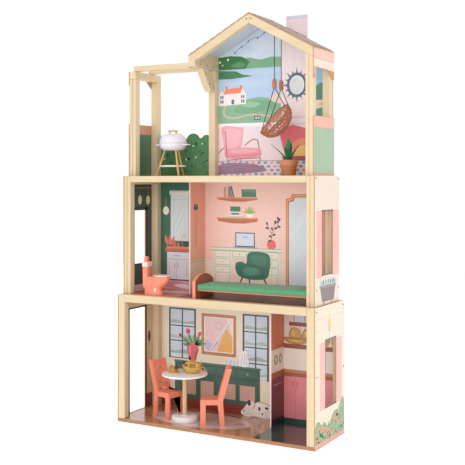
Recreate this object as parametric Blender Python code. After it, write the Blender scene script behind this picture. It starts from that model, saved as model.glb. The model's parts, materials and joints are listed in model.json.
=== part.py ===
import math

import bmesh
import bpy
from mathutils import Matrix, Vector

# Driving sizes, in metres. X runs to the right, Y to the back and Z up.
GAP = 0.0003
HALF_GAP = GAP / 2
POST = 0.022
BOARD = 0.003
BASE_THICK = 0.010
BOTTOM_WIDTH = 0.630
BOTTOM_DEPTH = 0.202
BOTTOM_TOP = 0.372
MIDDLE_WIDTH = 0.613
MIDDLE_DEPTH = 0.1674
MIDDLE_TOP = 0.718
BOTTOM_BEAM_HIGH = 0.022
MIDDLE_BEAM_HIGH = 0.0185
UPPER_WIDTH = 0.595
UPPER_DEPTH = 0.139
GROOVE_WIDTH = 0.005
GROOVE_DEPTH = 0.0025

# Roof: two equal slopes that meet at the apex.
APEX_X = 0.1025
APEX_Z = 1.166
ROOF_LEFT = -0.091
ROOF_RIGHT = 0.2975
ROOF_ANGLE = math.radians(28.37)
ROOF_SLOPE = math.tan(ROOF_ANGLE)
CHIMNEY = (0.152, 0.216, 1.171)

# Patio, to the left of the room.
PATIO_POST_TOP = 1.003
SIDE_BEAM_TOP = 1.0253
CROSS_BEAM_TOP = 1.040
REAR_CROSS_BEAM_Y = 0.008
EAVE_BEAM_BASE = 1.028
ROOM_LEFT = -0.091
LEFT_FENCE_TOP = 0.871
RIGHT_FENCE_TOP = 0.877

# Openings in the side walls, as (front, back, bottom, top).
LEFT_DOOR = (-0.043, 0.038, 0.011, 0.319)
LEFT_WINDOW = (-0.030, 0.027, 0.455, 0.615)
RIGHT_LOW_WINDOW = (-0.0325, 0.039, 0.101, 0.277)
RIGHT_HIGH_WINDOW = (-0.033, 0.034, 0.454, 0.622)

# Furniture places.
TABLE_AT = (-0.125, -0.034)
TABLE_TOP = 0.148
LEFT_CHAIR_AT = (-0.1935, -0.0165)
LEFT_CHAIR_TURN = -15.0
RIGHT_CHAIR_AT = (-0.035, -0.034)
RIGHT_CHAIR_TURN = 210.0
CHAIR_SLATS = ((0.0930, 0.1060), (0.1120, 0.1250), (0.1310, 0.1440), (0.1500, 0.1715))
BOWL_AT = (-0.1087, -0.0177)
TRAY_AT = (-0.1590, -0.0420)
TOILET_AT = (-0.2087, -0.060)
SEAT_HINGE = (0.0010, 0.0, 0.0560)
BED_LEFT = -0.069
BED_RIGHT = 0.2925
MATTRESS_RIGHT = 0.2805
POST_CLEAR = -0.058
BED_FRONT = -0.080
BED_BACK = 0.018
GRILL_AT = (-0.187, 0.0)
PLANT_AT = (0.191, 0.0)
SWING_AT = (0.158, 0.0, 1.131)
BASKET_CENTRE = (0.1496, 0.0, 0.8734)
BASKET_HALF_RIM = 0.056
BASKET_HALF_WIDTH = 0.029
BASKET_DEPTH = 0.042
BASKET_WALL = 0.003
CORD_RADIUS = 0.0011
CORD_Y = 0.0215
RIM_CORD_Y = 0.0130
SLEEVE_RADIUS = 0.0062
SLEEVE_SPAN = (0.956, 0.985)


def clearScene():
    for item in list(bpy.data.objects):
        bpy.data.objects.remove(item, do_unlink=True)


def material(name, colour, roughness, metallic=0.0):
    made = bpy.data.materials.new(name)
    made.use_nodes = True
    shader = made.node_tree.nodes["Principled BSDF"]
    shader.inputs["Base Color"].default_value = (*colour, 1.0)
    shader.inputs["Roughness"].default_value = roughness
    shader.inputs["Metallic"].default_value = metallic
    return made


clearScene()
PINE = material("pine", (0.80, 0.67, 0.45), 0.55)
CREAM_BOARD = material("cream_board", (0.74, 0.67, 0.58), 0.5)
PRINTED_BOARD = material("printed_board", (0.62, 0.50, 0.46), 0.45)
FLOOR_BOARD = material("floor_board", (0.30, 0.13, 0.09), 0.25)
ROOF_BOARD = material("roof_board", (0.25, 0.27, 0.31), 0.5)
WHITE_PAINT = material("white_paint", (0.82, 0.78, 0.78), 0.35)
CORAL_PAINT = material("coral_paint", (0.80, 0.30, 0.20), 0.4)
GREEN_PAINT = material("green_paint", (0.14, 0.42, 0.26), 0.5)
GOLD_PAINT = material("gold_paint", (0.66, 0.44, 0.12), 0.4)
TERRACOTTA = material("terracotta", (0.52, 0.27, 0.14), 0.6)
LEAF = material("leaf", (0.10, 0.30, 0.08), 0.6)
WICKER = material("wicker", (0.50, 0.19, 0.10), 0.6)
CORD = material("cord", (0.03, 0.03, 0.03), 0.7)


def addObject(name, bm, look, parent=None):
    bmesh.ops.recalc_face_normals(bm, faces=bm.faces)
    mesh = bpy.data.meshes.new(name)
    bm.to_mesh(mesh)
    bm.free()
    mesh.materials.append(look)
    made = bpy.data.objects.new(name, mesh)
    bpy.context.scene.collection.objects.link(made)
    if parent:
        made.parent = parent
    return made


def pivot(name, place, turn=0.0):
    made = bpy.data.objects.new(name, None)
    made.location = (*place, 0.0) if len(place) == 2 else place
    made.rotation_euler = (0.0, 0.0, math.radians(turn))
    bpy.context.scene.collection.objects.link(made)
    return made


def onAxis(axis, a, b, level):
    """A point of a flat outline, placed on the plane square to the axis."""
    if axis == "X":
        return Vector((level, a, b))
    if axis == "Y":
        return Vector((a, level, b))
    return Vector((a, b, level))


def slabMesh(axis, span, outline, holes=(), shape=None):
    """A flat outline with holes, given thickness along one axis."""
    bm = bmesh.new()
    edges = []
    for loop in (outline, *holes):
        points = [bm.verts.new(onAxis(axis, a, b, span[0])) for a, b in loop]
        for i, point in enumerate(points):
            edges.append(bm.edges.new((point, points[(i + 1) % len(points)])))
    if holes:
        bmesh.ops.triangle_fill(bm, edges=edges, use_beauty=True)
    else:
        bm.faces.new([vert for vert in bm.verts])
    grown = bmesh.ops.extrude_face_region(bm, geom=list(bm.faces), use_keep_orig=True)
    moved = [item for item in grown["geom"] if isinstance(item, bmesh.types.BMVert)]
    bmesh.ops.translate(bm, verts=moved, vec=onAxis(axis, 0, 0, span[1] - span[0]))
    if shape:
        for vert in bm.verts:
            vert.co = shape(vert.co)
    return bm


def slab(name, look, axis, span, outline, holes=(), parent=None, shape=None):
    return addObject(name, slabMesh(axis, span, outline, holes, shape), look, parent)


def boxMesh(x, y, z):
    """A box inset by half a gap on every side, so that neighbours stay apart."""
    x, y, z = [(lo + HALF_GAP, hi - HALF_GAP) for lo, hi in (x, y, z)]
    return slabMesh("Z", z, [(x[0], y[0]), (x[1], y[0]), (x[1], y[1]), (x[0], y[1])])


def box(name, look, x, y, z, parent=None):
    return addObject(name, boxMesh(x, y, z), look, parent)


def turnedMesh(profile, centre=(0.0, 0.0), sides=32, matrix=None):
    """A closed profile of (radius, height) points, turned about the vertical axis."""
    bm = bmesh.new()
    rings = []
    for radius, height in profile:
        count = sides if radius > 0 else 1
        ring = []
        for i in range(count):
            turn = 2 * math.pi * i / sides
            place = (centre[0] + radius * math.cos(turn), centre[1] + radius * math.sin(turn), height)
            ring.append(bm.verts.new(place))
        rings.append(ring)
    pairs = list(zip(rings, rings[1:]))
    if profile[0][0] > 0 and profile[-1][0] > 0:
        pairs.append((rings[-1], rings[0]))
    for low, high in pairs:
        for i in range(sides):
            j = (i + 1) % sides
            face = [low[i % len(low)], low[j % len(low)], high[j % len(high)], high[i % len(high)]]
            bm.faces.new(list(dict.fromkeys(face)))
    if matrix:
        bmesh.ops.transform(bm, matrix=matrix, verts=bm.verts)
    return bm


def turned(name, look, profile, centre=(0.0, 0.0), sides=32, parent=None, matrix=None):
    made = addObject(name, turnedMesh(profile, centre, sides, matrix), look, parent)
    made.data.shade_smooth()
    made.data.set_sharp_from_angle(angle=math.radians(35))
    return made


def rodMesh(start, end, radius, sides=10):
    """A round rod between two points."""
    start, end = Vector(start), Vector(end)
    length = (end - start).length
    turn = Vector((0, 0, 1)).rotation_difference(end - start).to_matrix().to_4x4()
    profile = [(0, 0), (radius, 0), (radius, length), (0, length)]
    return turnedMesh(profile, sides=sides, matrix=Matrix.Translation(start) @ turn)


def fuse(name, look, meshes, parent=None):
    """One solid from several overlapping shapes; the tools stay hidden."""
    body = addObject(name, meshes[0], look, parent)
    for i, bm in enumerate(meshes[1:]):
        tool = addObject(f"{name}_tool_{i}", bm, look, parent)
        tool.hide_render = True
        tool.display_type = "WIRE"
        union = body.modifiers.new(f"union_{i}", "BOOLEAN")
        union.operation = "UNION"
        union.solver = "EXACT"
        union.object = tool
    return body


def rectangle(a, b):
    return [(a[0], b[0]), (a[1], b[0]), (a[1], b[1]), (a[0], b[1])]


def openingLoop(opening):
    return rectangle(opening[:2], opening[2:])


def arc(centre, radius, start, end, steps):
    points = []
    for i in range(steps + 1):
        turn = math.radians(start + (end - start) * i / steps)
        points.append((centre[0] + radius * math.cos(turn), centre[1] + radius * math.sin(turn)))
    return points


def roofTop(x):
    return APEX_Z - ROOF_SLOPE * abs(x - APEX_X)


def boardBelow(x):
    return roofTop(x) - BOARD / math.cos(ROOF_ANGLE)


def rafterBelow(x):
    return roofTop(x) - (BOARD + POST) / math.cos(ROOF_ANGLE)


def postOutline(left, front, grooved):
    """The square section of a post, with an optional groove along its front face."""
    x = (left + HALF_GAP, left + POST - HALF_GAP)
    y = (front + HALF_GAP, front + POST - HALF_GAP)
    if not grooved:
        return rectangle(x, y)
    middle = left + POST / 2
    sides = (middle - GROOVE_WIDTH / 2, middle + GROOVE_WIDTH / 2)
    depth = y[0] + GROOVE_DEPTH
    notch = [(sides[0], y[0]), (sides[0], depth), (sides[1], depth), (sides[1], y[0])]
    return [(x[0], y[0]), *notch, (x[1], y[0]), (x[1], y[1]), (x[0], y[1])]


def post(name, left, front, z, grooved=False, roofed=False):
    top = z[1] - HALF_GAP

    def underRafter(point):
        if point.z < top - 0.001:
            return point
        return Vector((point.x, point.y, rafterBelow(point.x) - GAP))

    span = (z[0] + HALF_GAP, top)
    slab(name, PINE, "Z", span, postOutline(left, front, grooved), shape=underRafter if roofed else None)


def storey(name, width, depth, z, grooved, beamHigh):
    """Four posts, the front beam and the left side beam of one of the two lower storeys."""
    outer = width / 2 - BOARD
    front = -depth / 2
    back = depth / 2 - BOARD
    for side, left in (("left", -outer), ("right", outer - POST)):
        post(f"{name}_post_front_{side}", left, front, z, grooved)
        post(f"{name}_post_rear_{side}", left, back - POST, z)
    inner = outer - POST
    box(f"{name}_front_beam", PINE, (-inner, inner), (front, front + POST), (z[1] - beamHigh, z[1]))
    beam = (z[1] - BOARD - POST, z[1] - BOARD)
    box(f"{name}_side_beam", PINE, (-outer, -inner), (front + POST, back - POST), beam)
    floorLoop = [
        (-outer + HALF_GAP, front + POST + HALF_GAP),
        (outer - HALF_GAP, front + POST + HALF_GAP),
        (outer - HALF_GAP, back - POST - HALF_GAP),
        (inner - HALF_GAP, back - POST - HALF_GAP),
        (inner - HALF_GAP, back - HALF_GAP),
        (-inner + HALF_GAP, back - HALF_GAP),
        (-inner + HALF_GAP, back - POST - HALF_GAP),
        (-outer + HALF_GAP, back - POST - HALF_GAP),
    ]
    above = {"bottom": "middle_floor", "middle": "top_floor"}[name]
    slab(above, FLOOR_BOARD, "Z", (z[1] - BOARD + HALF_GAP, z[1] - HALF_GAP), floorLoop)
    box(f"{name}_panel_back", PRINTED_BOARD, (-outer, outer), (back, back + BOARD),
        (z[0] - boardDrop(name), z[1]))


def boardDrop(name):
    """How far the boards of a storey reach below its posts."""
    return BASE_THICK + HALF_GAP if name == "bottom" else 0.0


def sideWall(name, look, x, depth, z, holes=()):
    y = (-depth / 2 + HALF_GAP, depth / 2 - HALF_GAP)
    slab(name, look, "X", (x[0] + HALF_GAP, x[1] - HALF_GAP), rectangle(y, z),
         [openingLoop(h) for h in holes])


def lowerStoreys():
    half = BOTTOM_WIDTH / 2
    box("base_board", PINE, (-half + BOARD, half - BOARD), (-BOTTOM_DEPTH / 2, BOTTOM_DEPTH / 2 - BOARD),
        (-HALF_GAP, BASE_THICK))
    storey("bottom", BOTTOM_WIDTH, BOTTOM_DEPTH, (BASE_THICK, BOTTOM_TOP), False, BOTTOM_BEAM_HIGH)
    tall = (0.0, BOTTOM_TOP - HALF_GAP)
    sideWall("bottom_panel_left", PRINTED_BOARD, (-half, -half + BOARD), BOTTOM_DEPTH, tall, [LEFT_DOOR])
    sideWall("bottom_panel_right", CREAM_BOARD, (half - BOARD, half), BOTTOM_DEPTH, tall, [RIGHT_LOW_WINDOW])
    half = MIDDLE_WIDTH / 2
    storey("middle", MIDDLE_WIDTH, MIDDLE_DEPTH, (BOTTOM_TOP, MIDDLE_TOP), True, MIDDLE_BEAM_HIGH)
    tall = (BOTTOM_TOP + HALF_GAP, MIDDLE_TOP - HALF_GAP)
    sideWall("middle_panel_left", PRINTED_BOARD, (-half, -half + BOARD), MIDDLE_DEPTH, tall, [LEFT_WINDOW])
    sideWall("middle_panel_right", CREAM_BOARD, (half - BOARD, half), MIDDLE_DEPTH, tall,
             [RIGHT_HIGH_WINDOW])
    box("kitchen_partition", PRINTED_BOARD, (0.126, 0.130), (0.015, 0.098), (BASE_THICK, BOTTOM_TOP - BOARD))
    box("bath_partition", PRINTED_BOARD, (-0.128, -0.124), (-0.005, 0.0807),
        (BOTTOM_TOP, MIDDLE_TOP - BOARD))


def topStorey():
    """Posts, beams, rafters, roof boards and the printed boards of the patio and the room."""
    outer = UPPER_WIDTH / 2 - BOARD
    front = -UPPER_DEPTH / 2
    back = UPPER_DEPTH / 2 - BOARD
    patio = (MIDDLE_TOP, PATIO_POST_TOP)
    post("patio_post_front", -outer, front, patio, True)
    post("patio_post_rear", -outer, back - POST, patio)
    post("room_post_rear_left", ROOM_LEFT, back - POST, (MIDDLE_TOP, EAVE_BEAM_BASE))
    post("room_post_front_right", outer - POST, front, (MIDDLE_TOP, EAVE_BEAM_BASE), True, True)
    post("room_post_rear_right", outer - POST, back - POST, (MIDDLE_TOP, 1.055))
    box("patio_side_beam", PINE, (-outer, -outer + POST), (front, back), (PATIO_POST_TOP, SIDE_BEAM_TOP))
    crossX = (-outer + 0.0145, ROOM_LEFT)
    for name, y in (("front", front), ("rear", REAR_CROSS_BEAM_Y)):
        box(f"patio_cross_beam_{name}", PINE, crossX, (y, y + POST), (SIDE_BEAM_TOP, CROSS_BEAM_TOP))

    def underRoof(point):
        if point.z < EAVE_BEAM_BASE + 0.005:
            return point
        return Vector((point.x, point.y, boardBelow(point.x) - GAP))

    eave = rectangle((ROOM_LEFT + HALF_GAP, ROOM_LEFT + POST - HALF_GAP),
                     (front + HALF_GAP, back - HALF_GAP))
    slab("eave_beam", PINE, "Z", (EAVE_BEAM_BASE + HALF_GAP, 1.055), eave, shape=underRoof)
    braceLoop = [(-0.028, EAVE_BEAM_BASE - GAP), (0.010, EAVE_BEAM_BASE - GAP),
                 (back - POST - GAP, 0.965), (0.020, 0.965)]
    slab("brace", PINE, "X", (ROOM_LEFT + HALF_GAP, ROOM_LEFT + POST - HALF_GAP), braceLoop)
    roof(front, back, outer)
    printedBoards(front, back, outer)


def roof(front, back, outer):
    for side, edge, low in (("left", -GAP, ROOM_LEFT + POST + HALF_GAP), ("right", GAP, outer)):
        high = APEX_X + edge / 2
        loop = [(low, boardBelow(low) - GAP), (high, boardBelow(high) - GAP), (high, rafterBelow(high)),
                (low, rafterBelow(low))]
        slab(f"rafter_{side}", PINE, "Y", (front + HALF_GAP, front + POST - HALF_GAP), loop)
        end = ROOF_LEFT if side == "left" else ROOF_RIGHT
        loop = [(end, roofTop(end)), (high, roofTop(high)), (high, boardBelow(high)), (end, boardBelow(end))]
        slab(f"roof_board_{side}", ROOF_BOARD, "Y", (front + HALF_GAP, back - HALF_GAP), loop)


def printedBoards(front, back, outer):
    floor = MIDDLE_TOP + HALF_GAP
    rear = (back + HALF_GAP, back + BOARD - HALF_GAP)
    right = outer - HALF_GAP
    left = ROOM_LEFT + HALF_GAP
    roomLoop = [
        (left, floor), (right, floor), (right, roofTop(right)),
        (CHIMNEY[1], roofTop(CHIMNEY[1])), (CHIMNEY[1], CHIMNEY[2]), (CHIMNEY[0], CHIMNEY[2]),
        (CHIMNEY[0], roofTop(CHIMNEY[0])), (APEX_X, APEX_Z), (left, roofTop(left)),
    ]
    slab("room_panel_back", PRINTED_BOARD, "Y", rear, roomLoop)
    hedge = [(-outer + HALF_GAP, floor), (left - GAP, floor), (left - GAP, 0.832)]
    hedge += arc((-0.112, 0.826), 0.015, 20, 160, 6)
    hedge += arc((-0.158, 0.822), 0.024, 20, 160, 8)
    hedge += arc((-0.210, 0.820), 0.026, 20, 160, 8)
    hedge += arc((-0.262, 0.818), 0.024, 20, 160, 8)
    hedge += [(-outer + HALF_GAP, 0.830)]
    slab("hedge_panel", PRINTED_BOARD, "Y", rear, hedge)
    ends = (front + HALF_GAP, -front - HALF_GAP)
    leftX = (-outer - BOARD + HALF_GAP, -outer - HALF_GAP)
    rightX = (outer + HALF_GAP, outer + BOARD - HALF_GAP)
    slab("left_fence", PRINTED_BOARD, "X", leftX, rectangle(ends, (floor, LEFT_FENCE_TOP)))
    slab("right_fence", PRINTED_BOARD, "X", rightX, rectangle(ends, (floor, RIGHT_FENCE_TOP)))
    legs = [(ends[1], 0.984), (0.047, 0.984), (0.020, 1.004), (-0.020, 1.004), (-0.058, 1.004),
            (-0.061, 0.985),
            (ends[0], 0.985)]
    top = SIDE_BEAM_TOP
    slab("left_valance", PRINTED_BOARD, "X", leftX, [(ends[0], top), (ends[1], top), *legs])
    legs = [(ends[1], 0.983), (0.0595, 0.983), (0.026, 1.005), (-0.061, 1.005), (-0.061, 0.978),
            (ends[0], 0.978)]
    top = boardBelow(rightX[1]) - GAP
    slab("right_valance", PRINTED_BOARD, "X", rightX, [(ends[0], top), (ends[1], top), *legs])


def table():
    low = BASE_THICK + GAP
    profile = [(0, low), (0.037, low), (0.038, low + 0.001), (0.038, 0.025), (0.037, 0.026), (0.0066, 0.026),
               (0.0066, 0.1415), (0.0635, 0.1415), (0.0665, 0.1435), (0.0665, 0.1465), (0.065, TABLE_TOP),
               (0, TABLE_TOP)]
    turned("table", WHITE_PAINT, profile, TABLE_AT, 48)


def chair(name, place, turn):
    """Two side boards with the legs and the leaning back posts, a seat and back slats between them."""
    carrier = pivot(f"{name}_place", place, turn)
    low = BASE_THICK + GAP
    seat = (0.0775, 0.086)
    halfSide = 0.032
    halfWide = 0.027
    thick = 0.007
    leg = 0.015
    topZ = 0.174
    lean = 0.025
    side = [
        (halfSide, low), (halfSide, seat[1]), (-halfSide + leg, seat[1]),
        (-halfSide + leg - lean, topZ - 0.001), (-halfSide - lean + 0.002, topZ),
        (-halfSide - lean, topZ - 0.003),
        (-halfSide - 0.001, seat[1]), (-halfSide, seat[0]), (-halfSide - 0.005, low),
        (-halfSide + leg - 0.007, low), (-halfSide + leg, seat[0] - 0.006),
        (halfSide - leg, seat[0] - 0.006), (halfSide - leg, low),
    ]
    meshes = [slabMesh("Y", (-halfWide, -halfWide + thick), side),
              slabMesh("Y", (halfWide - thick, halfWide), side)]
    inner = halfWide - thick + 0.001
    meshes.append(boxMesh((-halfSide + 0.002, halfSide - 0.0005), (-inner, inner), seat))
    meshes.append(boxMesh((halfSide - 0.007, halfSide - 0.0015), (-inner, inner), (0.0700, seat[0] + 0.001)))
    slope = lean / (topZ - seat[1])
    for lowZ, highZ in CHAIR_SLATS:
        at = [-halfSide + 0.0045 - slope * (z - seat[1]) for z in (lowZ, highZ)]
        loop = [(at[0], lowZ), (at[0] + 0.006, lowZ), (at[1] + 0.006, highZ), (at[1], highZ)]
        meshes.append(slabMesh("Y", (-inner, inner), loop))
    fuse(name, CORAL_PAINT, meshes, carrier)


def fruitBowl():
    """A boat-shaped basket, higher at its left end, with a loop handle at its right end."""
    carrier = pivot("fruit_bowl_place", (*BOWL_AT, TABLE_TOP + GAP), 25.0)
    shell = [(0, 0), (0.018, 0), (0.026, 0.009), (0.029, 0.017), (0.0268, 0.017), (0.0235, 0.010),
             (0.016, 0.003),
             (0, 0.003)]
    bowl = turnedMesh(shell, sides=32)
    for vert in bowl.verts:
        vert.co.z *= 1.0 + 0.22 * max(-vert.co.x / 0.029, 0.0)
    handle = bmesh.new()
    rings = []
    for i in range(13):
        turn = math.radians(-78 + 156 * i / 12)
        centre = Vector((0.0265 + 0.009 * math.cos(turn), 0.0, 0.0095 + 0.0068 * math.sin(turn)))
        out = Vector((math.cos(turn), 0.0, math.sin(turn)))
        ring = []
        for j in range(6):
            around = math.pi * j / 3
            offset = out * math.cos(around) + Vector((0, 1, 0)) * math.sin(around)
            ring.append(handle.verts.new(centre + offset * 0.0016))
        rings.append(ring)
    for first, second in zip(rings, rings[1:]):
        for j in range(6):
            k = (j + 1) % 6
            handle.faces.new((first[j], first[k], second[k], second[j]))
    handle.faces.new(rings[0])
    handle.faces.new(rings[-1][::-1])
    bmesh.ops.recalc_face_normals(handle, faces=handle.faces)
    bmesh.ops.recalc_face_normals(bowl, faces=bowl.faces)
    fuse("fruit_bowl", GOLD_PAINT, [bowl, handle], carrier)


def breadTray():
    """A low oval tray with a rolled loaf at one end, as one solid."""
    carrier = pivot("bread_tray_place", (*TRAY_AT, TABLE_TOP + GAP), 20.0)
    tray = turnedMesh([(0, 0), (0.017, 0), (0.019, 0.003), (0.017, 0.004), (0, 0.004)], sides=24)
    bmesh.ops.scale(tray, vec=(0.95, 0.62, 1), verts=tray.verts)
    loaf = turnedMesh([(0, 0), (0.006, 0.002), (0.008, 0.006), (0.006, 0.0105), (0, 0.012)], sides=16)
    bmesh.ops.scale(loaf, vec=(1.5, 0.95, 1), verts=loaf.verts)
    bmesh.ops.translate(loaf, vec=(0.001, 0, 0.0012), verts=loaf.verts)
    fuse("bread_tray", GOLD_PAINT, [tray, loaf], carrier)


def toilet():
    """A narrow cistern at the left, joined by a bridge to the bowl on its flared foot, and a lifting seat."""
    carrier = pivot("toilet_place", (*TOILET_AT, BOTTOM_TOP + GAP))
    tank = boxMesh((-0.0390, -0.0215), (-0.0125, 0.0125), (0.0, 0.094))
    bridge = boxMesh((-0.0300, 0.0), (-0.0115, 0.0115), (0.0300, 0.0520))
    foot = [(x * 1.08, y * 0.66) for x, y in arc((0.0, 0.0), 0.024, 0, 345, 23)]
    pedestal = slabMesh("Z", (0.0, 0.0400), foot)
    bowl = turnedMesh([(0, 0.028), (0.016, 0.030), (0.024, 0.046), (0.028, 0.0535), (0.018, 0.0535),
                       (0.014, 0.044),
                       (0, 0.040)], sides=28)
    bmesh.ops.scale(bowl, vec=(1.0, 0.64, 1), verts=bowl.verts)
    bmesh.ops.translate(bowl, vec=(0.0190, 0, 0), verts=bowl.verts)
    fuse("toilet_body", CORAL_PAINT, [tank, bridge, pedestal, bowl], carrier)
    hinge = pivot("toilet_seat_hinge", SEAT_HINGE)
    hinge.parent = carrier
    outer = [(x + 0.0185, y * 0.66) for x, y in arc((0, 0), 0.0285, -130, 130, 24)]
    hole = [(x + 0.0185, y * 0.66) for x, y in arc((0, 0), 0.0165, 0, 345, 23)]
    slab("toilet_seat", CORAL_PAINT, "Z", (-0.0020, 0.0020), outer, [hole], parent=hinge)


def bed():
    """Head board with an arched top, foot board and the deck between them; the mattress lies on it."""
    front, back = BED_FRONT - 0.004, BED_BACK
    low = BOTTOM_TOP + GAP
    middle = (front + back) / 2
    half = (back - front) / 2
    rise = 0.019
    radius = (half * half + rise * rise) / (2 * rise)
    spread = math.degrees(math.asin(half / radius))
    head = [(front, low), (back, low)] + arc((middle, 0.440 - radius), radius, 90 - spread, 90 + spread, 12)
    foot = rectangle((POST_CLEAR, back), (low, 0.4115))
    deckLoop = [
        (BED_LEFT + 0.005, front + 0.012), (MATTRESS_RIGHT - 0.002, front + 0.012),
        (MATTRESS_RIGHT - 0.002, POST_CLEAR + 0.001), (BED_RIGHT - 0.004, POST_CLEAR + 0.001),
        (BED_RIGHT - 0.004, back - 0.006), (BED_LEFT + 0.005, back - 0.006),
    ]
    meshes = [slabMesh("X", (BED_LEFT, BED_LEFT + 0.010), head),
              slabMesh("X", (BED_RIGHT - 0.008, BED_RIGHT), foot),
              slabMesh("Z", (0.3930, 0.3970), deckLoop)]
    fuse("bed_frame", CORAL_PAINT, meshes)
    box("mattress", GREEN_PAINT, (BED_LEFT + 0.012, MATTRESS_RIGHT), (BED_FRONT, BED_BACK), (0.397, 0.413))


def grill():
    """Kettle grill: bowl with side handles on three splayed legs with a round shelf, and a lifting lid."""
    carrier = pivot("grill_place", (*GRILL_AT, MIDDLE_TOP + GAP))
    seam = 0.0960
    bowl = [(0, 0.0745), (0.030, 0.0745), (0.040, 0.086), (0.041, seam - 0.002), (0.041, seam),
            (0.0385, seam),
            (0.037, 0.087), (0.028, 0.0775), (0, 0.0775)]
    meshes = [turnedMesh(bowl, sides=32)]
    for turn in (-38, 82, 202):
        foot = Vector((0.049 * math.cos(math.radians(turn)), 0.049 * math.sin(math.radians(turn)), 0.0022))
        head = Vector((0.024 * math.cos(math.radians(turn)), 0.024 * math.sin(math.radians(turn)), 0.0775))
        meshes.append(rodMesh(foot, head, 0.0022, 8))
    meshes.append(turnedMesh([(0, 0.0260), (0.0395, 0.0260), (0.0395, 0.0310), (0, 0.0310)], sides=28))
    for side in (-1, 1):
        start = 0.039 if side > 0 else -0.054
        meshes.append(boxMesh((start, start + 0.015), (-0.011, 0.011), (0.0900, 0.0935)))
    fuse("grill_stand", WHITE_PAINT, meshes, carrier)
    lid = [(0, 0.1205), (0.0275, 0.1205), (0.0315, 0.116), (0.038, 0.100), (0.0385, seam + GAP),
           (0.041, seam + GAP), (0.0405, 0.101), (0.034, 0.1175), (0.029, 0.123), (0, 0.123)]
    top = turnedMesh(lid, sides=32)
    knobs = [boxMesh((x - 0.002, x + 0.002), (-0.002, 0.002), (0.1220, 0.1310)) for x in (-0.011, 0.011)]
    bar = rodMesh((-0.0165, 0, 0.1325), (0.0165, 0, 0.1325), 0.0026, 10)
    fuse("grill_lid", WHITE_PAINT, [top, *knobs, bar], carrier)


def leafMesh(turn, reach, rise, width):
    """One arched leaf: a thin blade that widens and then runs to a point."""
    bm = bmesh.new()
    steps = 7
    rows = []
    for i in range(steps + 1):
        part = i / steps
        along = 0.003 + reach * part ** 1.3
        height = 0.030 + rise * math.sin(part * math.pi * 0.55)
        half = max(width * math.sin(math.pi * min(part * 0.86 + 0.12, 1.0)), 0.0006)
        row = []
        for side, drop in ((-1, 0), (1, 0), (1, 0.0012), (-1, 0.0012)):
            flat = Vector((along, side * half, height - drop))
            row.append(bm.verts.new(Matrix.Rotation(math.radians(turn), 3, "Z") @ flat))
        rows.append(row)
    for first, second in zip(rows, rows[1:]):
        for j in range(4):
            k = (j + 1) % 4
            bm.faces.new((first[j], first[k], second[k], second[j]))
    bm.faces.new(rows[0])
    bm.faces.new(rows[-1])
    bmesh.ops.recalc_face_normals(bm, faces=bm.faces)
    return bm


def plant():
    carrier = pivot("plant_place", (*PLANT_AT, MIDDLE_TOP + GAP))
    profile = [(0, 0), (0.019, 0), (0.0225, 0.026), (0.0245, 0.027), (0.0245, 0.043), (0.0215, 0.043),
               (0.0205, 0.030), (0.017, 0.006), (0, 0.006)]
    turned("plant_pot", TERRACOTTA, profile, sides=32, parent=carrier)
    soil = turnedMesh([(0, 0.0065), (0.0160, 0.0065), (0.0195, 0.0300), (0, 0.0330)], sides=20)
    leaves = [leafMesh(turn, reach, rise, wide) for turn, reach, rise, wide in (
        (185, 0.052, 0.058, 0.004), (150, 0.020, 0.066, 0.0045), (60, 0.016, 0.060, 0.0045),
        (0, 0.032, 0.060, 0.004), (-30, 0.030, 0.050, 0.004), (-80, 0.026, 0.060, 0.0045),
        (-130, 0.034, 0.052, 0.004), (105, 0.030, 0.052, 0.004))]
    fuse("plant_leaves", LEAF, [soil, *leaves], carrier)


def hangingBasket():
    """A deep bowl tipped to one side, hung from two cords; all of it swings about the cords' upper ends."""
    swing = pivot("basket_swing", SWING_AT)
    steps = 9
    outer = []
    inner = []
    for i in range(steps + 1):
        turn = math.pi / 2 * i / steps
        outer.append((BASKET_HALF_RIM * math.sin(turn), -BASKET_DEPTH * math.cos(turn)))
        thin = BASKET_WALL
        inner.append(((BASKET_HALF_RIM - thin) * math.sin(turn), -(BASKET_DEPTH - thin) * math.cos(turn)))
    profile = outer + inner[::-1]
    profile[0] = (0, -BASKET_DEPTH)
    profile[-1] = (0, -(BASKET_DEPTH - BASKET_WALL))
    centre = Vector(BASKET_CENTRE) - Vector(SWING_AT)
    squeeze = Matrix.Diagonal((1, BASKET_HALF_WIDTH / BASKET_HALF_RIM, 1, 1))
    tip = Matrix.Rotation(math.radians(-45), 4, "Y")
    turned("hanging_basket", WICKER, profile, sides=36, parent=swing,
           matrix=Matrix.Translation(centre) @ tip @ squeeze)
    for name, side in (("front", -1), ("rear", 1)):
        top = Vector((0, side * CORD_Y, -0.001))
        sleeveTop = Vector((0, side * CORD_Y, SLEEVE_SPAN[1] - SWING_AT[2]))
        sleeveLow = Vector((0, side * CORD_Y, SLEEVE_SPAN[0] - SWING_AT[2]))
        meshes = [rodMesh(sleeveLow, sleeveTop, SLEEVE_RADIUS, 14),
                  rodMesh(sleeveTop - Vector((0, 0, 0.004)), top, CORD_RADIUS, 8)]
        reach = BASKET_HALF_RIM * math.sqrt(1 - (RIM_CORD_Y / BASKET_HALF_WIDTH) ** 2)
        for end in (-1, 1):
            rim = centre + tip @ Vector((end * (reach + 0.002), side * RIM_CORD_Y, 0.0032))
            start = sleeveLow + Vector((end * 0.0012, 0, 0.004))
            meshes.append(rodMesh(start, rim, CORD_RADIUS, 8))
        fuse(f"hanging_cord_{name}", CORD, meshes, swing)


lowerStoreys()
topStorey()
table()
chair("chair_left", LEFT_CHAIR_AT, LEFT_CHAIR_TURN)
chair("chair_right", RIGHT_CHAIR_AT, RIGHT_CHAIR_TURN)
fruitBowl()
breadTray()
toilet()
bed()
grill()
plant()
hangingBasket()
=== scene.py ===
import json
import math

import bmesh
import bpy
from mathutils import Matrix, Vector


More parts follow.
